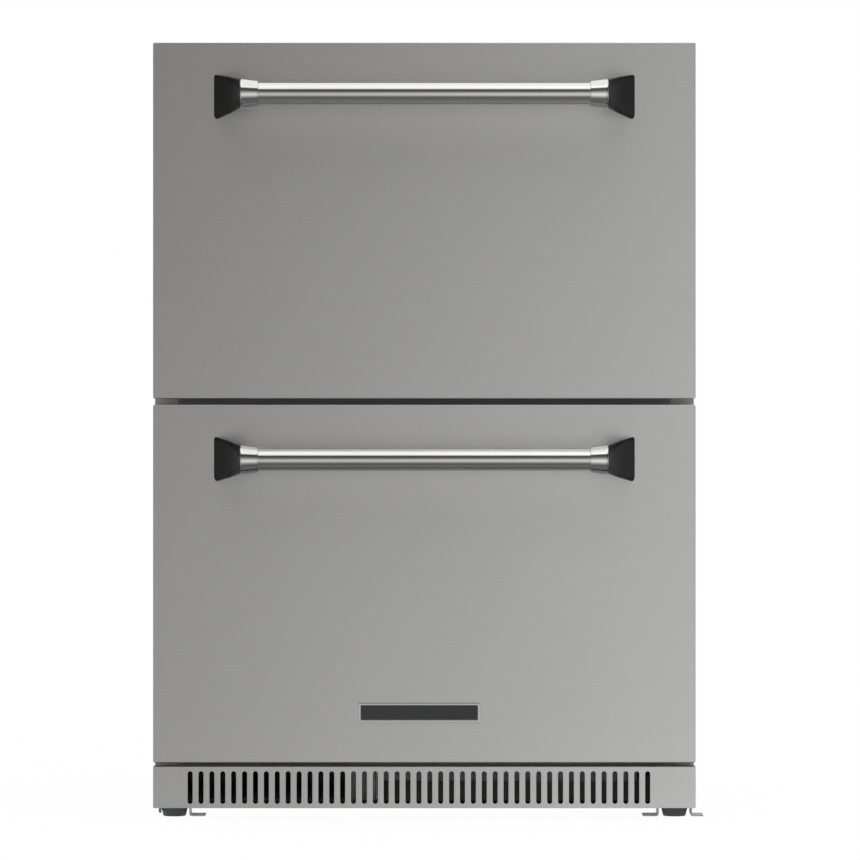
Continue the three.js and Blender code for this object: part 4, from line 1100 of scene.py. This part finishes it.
def fan(label, node, body, axis, centre, along, hub, length, r, chord, pitch, blades, shaft_end):
    """A rotor with swept, twisted blades. The axis point is centre at 'along'."""
    bm = bmesh.new()
    prof = [(hub * 0.3, along), (hub * 0.72, along + 0.1 * length * 0.2), (hub * 0.93, along + length * 0.06), (hub, along + length * 0.16), (hub, along + length * 0.94), (hub * 0.94, along + length), (2.2 * MM, along + length), (2.2 * MM, shaft_end)]
    add_lathe(bm, axis, centre, prof, 40)
    f = AXES[axis]
    mid = along + length / 2
    for b in range(blades):
        base = 2 * math.pi * b / blades
        rows = []
        for i in range(9):
            s = i / 8
            rad = hub * 0.9 + (r - hub * 0.9) * s
            row_top, row_bot = [], []
            width = chord * (0.62 + 0.75 * s - 0.3 * s * s)
            tw = pitch * (1.25 - 0.5 * s)
            sweep = 0.25 * s * s
            for j in range(9):
                q = j / 8 - 0.5
                across = width * q
                camber = 0.07 * width * (1 - 4 * q * q)
                da = across * math.cos(tw) + camber * math.sin(tw)
                h = across * math.sin(tw) - camber * math.cos(tw)
                lim = length / 2 + 2 * MM
                h = max(-lim, min(lim, h))
                ang = base + sweep + da / rad
                row_top.append((rad, ang, mid + h + 0.55 * MM))
                row_bot.append((rad, ang, mid + h - 0.55 * MM))
            rows.append(row_top + row_bot[::-1])
        rings = []
        for row in rows:
            rings.append([f(h, centre[0] + rad * math.cos(a), centre[1] + rad * math.sin(a)) for rad, a, h in row])
        add_rings(bm, rings)
    return to_object(label, bm, BLACK, body, [node], 40, merge=False)


def machinery():
    cx, cy = 0.040, 0.240
    bm = bmesh.new()
    prof = [(2, 34), (50, 34), (56, 36.5), (59, 41), (60, 48), (60, 117), (61.8, 118.2), (62, 120), (62, 125), (61.8, 127), (60, 128), (60, 150), (58, 166), (53, 179), (44, 189), (31, 195.4), (16, 198.6), (2, 199)]
    add_lathe(bm, "z", (cx, cy), [(a * MM, b * MM) for a, b in prof], 72)
    to_object("compressor_pot", bm, PAINT, "cabinet", ["compressor"], 40)
    bm = bmesh.new()
    rounded_box(bm, cx - 85 * MM, cx + 85 * MM, cy - 62 * MM, cy + 62 * MM, 32 * MM, 35 * MM, 1.2 * MM, 2)
    to_object("compressor_plate", bm, PAINT, "cabinet", (), 30)
    bm = bmesh.new()
    for sx in (-1, 1):
        for sy in (-1, 1):
            add_lathe(bm, "z", (cx + sx * 72 * MM, cy + sy * 50 * MM), [(a * MM, b * MM) for a, b in ((3, 19.6), (8.4, 19.6), (9, 20.4), (9, 23), (7.6, 24), (9, 25), (9, 27), (7.6, 28), (9, 29), (9, 31.6), (6, 32))], 32)
    to_object("compressor_mounts", bm, RUBBER, "cabinet", (), 50)
    bm = bmesh.new()
    for sx in (-1, 1):
        for sy in (-1, 1):
            screw_head(bm, "z", 1, (cx + sx * 72 * MM, cy + sy * 50 * MM, 35 * MM), 6 * MM, 3.4 * MM)
    to_object("compressor_screws", bm, SCREW, "cabinet", (), 30)
    bm = bmesh.new()
    rounded_box(bm, 98 * MM, 126 * MM, 212 * MM, 268 * MM, 84 * MM, 146 * MM, 4 * MM, 4)
    rounded_box(bm, 125.2 * MM, 127.4 * MM, 222 * MM, 258 * MM, 96 * MM, 134 * MM, 0.8 * MM, 2)
    to_object("terminal_box", bm, BLACK, "cabinet", (), 30)

    lo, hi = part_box("condenser_coil")
    finned("condenser", "condenser_coil", "y", lo, hi, [(54 + 40 * i) * MM for i in range(6)], 4.6 * MM, 0.167, 0.298, -0.200, (-0.2235, -0.1765, 0.035, 0.273), 3.6 * MM, PAINT, PAINT)

    # shroud: a plate with a belled ring, a motor and its arms
    lo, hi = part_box("condenser_fan_shroud")
    fy, fz = 0.235, 0.158
    bm = bmesh.new()
    n = 72
    outer, inner = [], []
    for i in range(n):
        a = 2 * math.pi * i / n
        c, s = math.cos(a), math.sin(a)
        hy, hz0, hz1 = 0.1, fz - lo.z, hi.z - fz
        k = min((0.1 if True else hy) / max(abs(c), 1e-9), (hz1 if s > 0 else hz0) / max(abs(s), 1e-9))
        outer.append((max(min(fy + k * c, hi.y - 0.0005), lo.y + 0.0005), fz + k * s))
        inner.append((fy + 72 * MM * c, fz + 72 * MM * s))
    # square the plate's corners
    corners = [(hi.y - 0.0005, hi.z), (lo.y + 0.0005, hi.z), (lo.y + 0.0005, lo.z), (hi.y - 0.0005, lo.z)]
    for cyz in corners:
        j = min(range(n), key=lambda q: (outer[q][0] - cyz[0]) ** 2 + (outer[q][1] - cyz[1]) ** 2)
        outer[j] = cyz
    x0, x1 = -0.160, -0.1585
    def col(pts, x):
        return [(x, y, z) for y, z in pts]
    def grow(rad):
        return [(fy + rad * math.cos(2 * math.pi * i / n), fz + rad * math.sin(2 * math.pi * i / n)) for i in range(n)]
    loops = [col(outer, x0), col(grow(78 * MM), x0), col(grow(74.5 * MM), x0 + 0.6 * MM), col(grow(72.8 * MM), x0 + 2.4 * MM), col(grow(72.3 * MM), x0 + 7 * MM), col(grow(73.6 * MM), x0 + 7 * MM), col(grow(74.2 * MM), x1 + 1.6 * MM), col(grow(76 * MM), x1 + 0.4 * MM), col(grow(79 * MM), x1), col(outer, x1)]
    rows = [[bm.verts.new(p) for p in loop] for loop in loops]
    for a in range(len(rows)):
        b = (a + 1) % len(rows)
        for i in range(n):
            j = (i + 1) % n
            bm.faces.new((rows[a][i], rows[a][j], rows[b][j], rows[b][i]))
    to_object("fan_shroud", bm, BLACK, "cabinet", ["condenser_fan_shroud"], 40)
    bm = bmesh.new()
    rounded_box(bm, -0.159, -0.110, fy - 84 * MM, fy - 80 * MM, fz - 8 * MM, fz + 8 * MM, 0.8 * MM, 2)
    rounded_box(bm, -0.159, -0.110, fy + 80 * MM, fy + 84 * MM, fz - 8 * MM, fz + 8 * MM, 0.8 * MM, 2)
    rounded_box(bm, -0.112, -0.1096, fy - 84 * MM, fy + 84 * MM, fz - 8 * MM, fz + 8 * MM, 0.8 * MM, 2)
    add_lathe(bm, "x", (fy, fz), [(a * MM, b * MM) for a, b in ((4, -110), (20, -110), (21.6, -109), (22, -107.5), (22, -84), (21, -81.5), (18, -80), (4, -80))], 48)
    to_object("fan_motor", bm, BLACK, "cabinet", (), 40)

    fan("condenser_rotor", "condenser_fan_blade", "condenser_fan", "x", (fy, fz), -0.142, 17 * MM, 24 * MM, 66 * MM, 40 * MM, 0.62, 5, -0.1126)
    fan("evaporator_rotor", "evaporator_fan_blade", "evaporator_fan", "y", (0.0, 0.730), 0.235, 11 * MM, 15 * MM, 38 * MM, 24 * MM, 0.62, 5, 0.2554)

    # tray
    lo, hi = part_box("drain_pan")
    bm = bmesh.new()
    def ring(i, z, r):
        return [(u, v, z) for u, v in rr(lo.x + i, hi.x - i, lo.y + i, hi.y - i, r, 6)]
    rows = [ring(14 * MM, lo.z + 0.1 * MM, 3 * MM), ring(5 * MM, lo.z, 6 * MM), ring(3.4 * MM, lo.z + 0.8 * MM, 7 * MM), ring(2.6 * MM, lo.z + 3 * MM, 7 * MM), ring(1.6 * MM, hi.z - 3 * MM, 8 * MM), ring(1.2 * MM, hi.z - 1.2 * MM, 8 * MM), ring(0.4 * MM, hi.z - 0.3 * MM, 8 * MM), ring(0, hi.z - 1.4 * MM, 8 * MM)]
    vs = [[bm.verts.new(p) for p in r] for r in rows]
    k = len(vs[0])
    for a, b in zip(vs, vs[1:]):
        for i in range(k):
            j = (i + 1) % k
            bm.faces.new((a[i], a[j], b[j], b[i]))
    bm.faces.new(vs[0][::-1])
    ob = to_object("condensate_tray", bm, BLACK, "cabinet", ["drain_pan"], 50)
    solidify(ob, 1.2 * MM, 1.0)

    bm = bmesh.new()
    pts = [(-10, 196, 176), (-16, 186, 214), (-30, 172, 262), (-52, 158, 289), (-95, 150, 294), (-150, 150, 294), (-190, 150, 292), (-201, 151, 284), (-201, 153, 266)]
    add_tube(bm, [[v * MM for v in p] for p in pts], 3.2 * MM, 16, 6)
    to_object("discharge_tube", bm, COPPER, "cabinet", ["discharge_line"], 40)

    # mains inlet
    lo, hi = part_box("power_inlet")
    bm = bmesh.new()
    def ring(i, y, r):
        return [(u, y, v) for u, v in rr(lo.x + i, hi.x - i, lo.z + i, hi.z - i, r, 6)]
    def hole(y, e=0.0):
        return [(u, y, v) for u, v in rr(0.230 - e, 0.268 + e, 0.045 - e, 0.063 + e, 2.2 * MM, 6)]
    def shell(y):
        return [(u, y, v) for u, v in rr(0.226, 0.272, 0.042, 0.066, 3 * MM, 6)]
    loops = [shell(lo.y), shell(0.341), ring(0, 0.341, 4 * MM), ring(0, hi.y - 0.4 * MM, 4 * MM), ring(0.4 * MM, hi.y, 4 * MM), hole(hi.y, 0.4 * MM), hole(hi.y - 0.4 * MM), hole(0.324)]
    add_rings(bm, loops)
    to_object("mains_inlet", bm, BLACK, "cabinet", ["power_inlet"], 35)
    bm = bmesh.new()
    for x, z in ((0.240, 0.0512), (0.258, 0.0512), (0.249, 0.0572)):
        rounded_box(bm, x - 2 * MM, x + 2 * MM, 0.3235, 0.338, z - 1.2 * MM, z + 1.2 * MM, 0.4 * MM, 2)
    to_object("mains_pins", bm, SCREW, "cabinet", (), 30)


def small_hardware():
    """Screws that hold the covers and slides, and the balls in the slides' cages."""
    lo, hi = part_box("rear_machine_cover")
    y = hi.y
    bm = bmesh.new()
    for x in (-0.29, -0.15, 0.0, 0.15, 0.29):
        screw_head(bm, "y", 1, (x, y, 0.309), 3.8 * MM, 1.3 * MM)
        if abs(x) > 0.1 or x == 0:
            screw_head(bm, "y", 1, (x, y, 0.0285), 3.8 * MM, 1.3 * MM)
    for z in (0.11, 0.21):
        for x in (-0.2955, 0.2955):
            screw_head(bm, "y", 1, (x, y, z), 3.8 * MM, 1.3 * MM)
    for x in (-0.2955, 0.2955):
        for z in (0.36, 0.5, 0.64, 0.78, 0.855):
            screw_head(bm, "y", 1, (x, y, z), 3.8 * MM, 1.3 * MM)
    for x in (-0.15, 0.0, 0.15):
        screw_head(bm, "y", 1, (x, y, 0.857), 3.8 * MM, 1.3 * MM)
    to_object("rear_screws", bm, SCREW, "cabinet", (), 30, merge=False)

    bm = bmesh.new()
    for level, z, ys in (("upper", 0.548, (-0.18, -0.05, 0.1, 0.22)), ("lower", 0.165, (-0.18, -0.06, 0.05))):
        for s in (-1, 1):
            for yy in ys:
                screw_head(bm, "x", -s, (s * 0.2565, yy, z), 3.6 * MM, 1.1 * MM)
    to_object("slide_screws_cabinet", bm, SCREW, "cabinet", (), 30, merge=False)
    for level, z, ys in (("upper", 0.548, (-0.185, -0.06, 0.08, 0.2)), ("lower", 0.165, (-0.185, -0.07, 0.04))):
        bm = bmesh.new()
        for s in (-1, 1):
            for yy in ys:
                screw_head(bm, "x", s, (s * 0.2454, yy, z), 3.4 * MM, 0.9 * MM)
        to_object(f"{level}_slide_screws", bm, SCREW, f"{level}_drawer", (), 30, merge=False)
        # ball cages between the members ride with the middle one
        bm = bmesh.new()
        mlo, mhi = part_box(f"{level}_slide_middle_right")
        for s in (-1, 1):
            for zz in (z - 18.6 * MM, z + 18.6 * MM):
                y0, y1 = mlo.y + 12 * MM, mhi.y - 30 * MM
                k = int((y1 - y0) / (9 * MM))
                for i in range(k):
                    yy = y0 + i * 9 * MM
                    bmesh.ops.create_uvsphere(bm, u_segments=10, v_segments=6, radius=1.0 * MM, matrix=Matrix.Translation((s * 0.2486, yy, zz + (0.15 * MM if zz < z else -0.15 * MM))))
        to_object(f"{level}_slide_balls", bm, SCREW, f"{level}_slide_middle", (), 60, merge=False)


for level in ("upper", "lower"):
    front_skin(level)
    inner_panel(level)
    gasket(level)
    handle(level)
    tub(level)
badge()
grille()
for place in ("front_left", "front_right", "rear_left", "rear_right"):
    leg(place)
for side in ("left", "right"):
    bracket(side)
liner()
control_panel()
lamp()
evaporator()
machinery()
small_hardware()
flatten_shading()


# -------------------------------------------------------------- studio and camera

def studio():
    """Pale floor, a large soft light overhead and a softer one low in front."""
    world = bpy.data.worlds.new("studio")
    scene.world = world
    world.use_nodes = True
    g = Graph(world.node_tree)
    out = g.add("ShaderNodeOutputWorld")
    tc = g.add("ShaderNodeTexCoord")
    sep = g.add("ShaderNodeSeparateXYZ", {0: tc.outputs["Generated"]})
    x, y, z = sep.outputs
    deg = 180 / math.pi
    el = g.math("MULTIPLY", g.math("ARCSINE", z), deg)
    az = g.math("MULTIPLY", g.math("ARCTAN2", x, g.math("MULTIPLY", y, -1.0)), deg)

    def bell(v, centre, width):
        d = g.math("DIVIDE", g.math("SUBTRACT", v, centre), width)
        return g.math("POWER", math.e, g.math("MULTIPLY", g.math("MULTIPLY", d, d), -0.5))

    # what the front of the room looks like, from straight down to straight up
    table = [
        (-90, 0.13), (-79, 0.16), (-66, 0.155), (-54, 0.105), (-43, 0.1), (-32, 0.2), (-24, 0.38), (-17, 0.54), (-10, 0.6), (-4, 0.54),
        (3, 0.4), (10, 0.235), (16, 0.14), (21, 0.09), (31, 0.042), (37, 0.06), (42, 0.24), (46, 0.7), (50, 0.97), (90, 0.97),
    ]
    ramp = g.add("ShaderNodeValToRGB", {0: g.math("DIVIDE", g.math("ADD", el, 90.0), 180.0)})
    stops = ramp.color_ramp.elements
    while len(stops) > 1:
        stops.remove(stops[0])
    for i, (e, v) in enumerate(table):
        stop = stops[0] if i == 0 else stops.new((e + 90) / 180)
        stop.position = (e + 90) / 180
        stop.color = (v, v, v, 1)
    profile = g.add("ShaderNodeSeparateColor", {"Color": ramp.outputs[0]}).outputs[0]
    # and how its level part varies from left to right, halved
    around = [
        (-58, 0.24), (-46, 0.22), (-36, 0.2), (-27, 0.34), (-20, 0.62), (-13, 0.74), (-7, 0.48), (-2.5, 0.41), (0, 0.5), (2.5, 0.6), (7, 0.7),
        (13, 0.62), (20, 0.5), (28, 0.3), (36, 0.2), (46, 0.22), (58, 0.24),
    ]
    over = remap(g, el, 0.0, 1.0, 37, 44, smooth=True)
    sweep = g.add("ShaderNodeValToRGB", {0: g.math("DIVIDE", g.math("ADD", az, 60.0), 120.0)})
    stops = sweep.color_ramp.elements
    while len(stops) > 1:
        stops.remove(stops[0])
    for i, (e, v) in enumerate(around):
        stop = stops[0] if i == 0 else stops.new((e + 60) / 120)
        stop.position = (e + 60) / 120
        stop.color = (v, v, v, 1)
    side = g.math("MULTIPLY", g.add("ShaderNodeSeparateColor", {"Color": sweep.outputs[0]}).outputs[0], 2.0)
    wide = bell(az, 0.0, 55.0)
    steep = remap(g, el, 1.0, 0.0, -60, -36, smooth=True)
    spread = g.math("ADD", g.math("MULTIPLY", wide, steep), g.math("MULTIPLY", side, g.math("SUBTRACT", 1.0, steep)))
    spread = g.math("MAXIMUM", spread, over)
    room = g.math("MAXIMUM", g.math("MULTIPLY", profile, spread), 0.022)
    # light off the floor to the left
    patch = g.math("MULTIPLY", g.math("MULTIPLY", bell(az, -34.0, 8.0), bell(el, -32.0, 10.0)), 0.3)
    room = g.math("ADD", room, patch)
    # the pale backdrop behind the object and beside it
    behind = remap(g, y, 0.0, 0.5, -0.1, 0.3, smooth=True)
    behind = g.math("MULTIPLY", behind, g.math("SUBTRACT", 1.0, over))
    behind = g.math("MULTIPLY", behind, remap(g, el, 0.0, 1.0, -40, -12, smooth=True))
    # pale walls to the left and right
    walls = remap(g, g.math("ABSOLUTE", x), 0.0, 0.3, 0.8, 0.97, smooth=True)
    walls = g.math("MULTIPLY", walls, remap(g, el, 0.0, 1.0, -40, -12, smooth=True))
    total = g.math("ADD", room, g.math("MAXIMUM", behind, walls))
    glossy = g.add("ShaderNodeBackground", {"Strength": total, "Color": (1.0, 0.995, 0.985, 1)})
    plain = g.add("ShaderNodeBackground", {"Strength": 1.0, "Color": (1.0, 1.0, 1.0, 1)})
    path = g.add("ShaderNodeLightPath")
    mix = g.add("ShaderNodeMixShader", {0: path.outputs["Is Glossy Ray"], 1: plain.outputs[0], 2: glossy.outputs[0]})
    g.link(mix.outputs[0], out.inputs[0])
    world.cycles.sampling_method = "NONE"

    bm = bmesh.new()
    bmesh.ops.create_grid(bm, x_segments=4, y_segments=4, size=40)
    me = bpy.data.meshes.new("floor")
    bm.to_mesh(me)
    bm.free()
    floor = bpy.data.objects.new("floor", me)
    scene.collection.objects.link(floor)
    floor.location.z = cad_lo.z - 0.0004
    m = bpy.data.materials.new("floor_pale")
    m.use_nodes = True
    g = Graph(m.node_tree)
    out = g.add("ShaderNodeOutputMaterial")
    matte = g.add("ShaderNodeBsdfDiffuse", {"Color": (0.035, 0.035, 0.035, 1)})
    glow = g.add("ShaderNodeEmission", {"Color": (1, 1, 1, 1), "Strength": 0.965})
    both = g.add("ShaderNodeAddShader", {0: matte.outputs[0], 1: glow.outputs[0]})
    g.link(both.outputs[0], out.inputs[0])
    me.materials.append(m)
    floor.visible_glossy = False

    key = bpy.data.lights.new("key", "AREA")
    key.energy = 26
    key.size = 1.6
    ko = bpy.data.objects.new("key", key)
    ko.location = (1.7, -2.2, 2.0)
    ko.rotation_euler = (Vector((0, 0, 0.45)) - Vector(ko.location)).to_track_quat("-Z", "Y").to_euler()
    ko.visible_glossy = False
    scene.collection.objects.link(ko)


def inner_lights():
    """Weak glows for the light that finds its way under the cabinet and into the gap
    over the toe grille. Each reaches only the sheet that it is meant for."""

    def glow(name, reaches, power, size, at):
        group = bpy.data.collections.new(name + "_reaches")
        for n in reaches:
            group.objects.link(NODES[n])
        light = bpy.data.lights.new(name, "AREA")
        light.shape = "RECTANGLE"
        light.size, light.size_y = size
        light.energy = power
        light.color = (1.0, 0.97, 0.93)
        ob = bpy.data.objects.new(name, light)
        ob.location = at
        ob.visible_glossy = False
        ob.visible_camera = False
        ob.light_linking.receiver_collection = group
        scene.collection.objects.link(ob)

    glow("duct_glow", ["base_pan"], 0.016, (0.31, 0.3), (0.105, -0.05, 0.0632))
    glow("gap_glow", ["grille_frame", "base_deck"], 0.014, (0.6, 0.03), (0.0, -0.246, 0.0647))


def camera():
    cam = bpy.data.cameras.new("camera")
    cam.sensor_width = 36
    cam.lens = 36 * 5.300 / 0.9615
    cam.clip_start = 0.1
    cam.clip_end = 200
    ob = bpy.data.objects.new("camera", cam)
    front_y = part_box("lower_front_skin")[0].y
    ob.location = (0.0063, front_y - 5.300, 0.4368)
    ob.rotation_euler = (math.radians(90), 0, 0)
    scene.collection.objects.link(ob)
    scene.camera = ob


studio()
inner_lights()
camera()
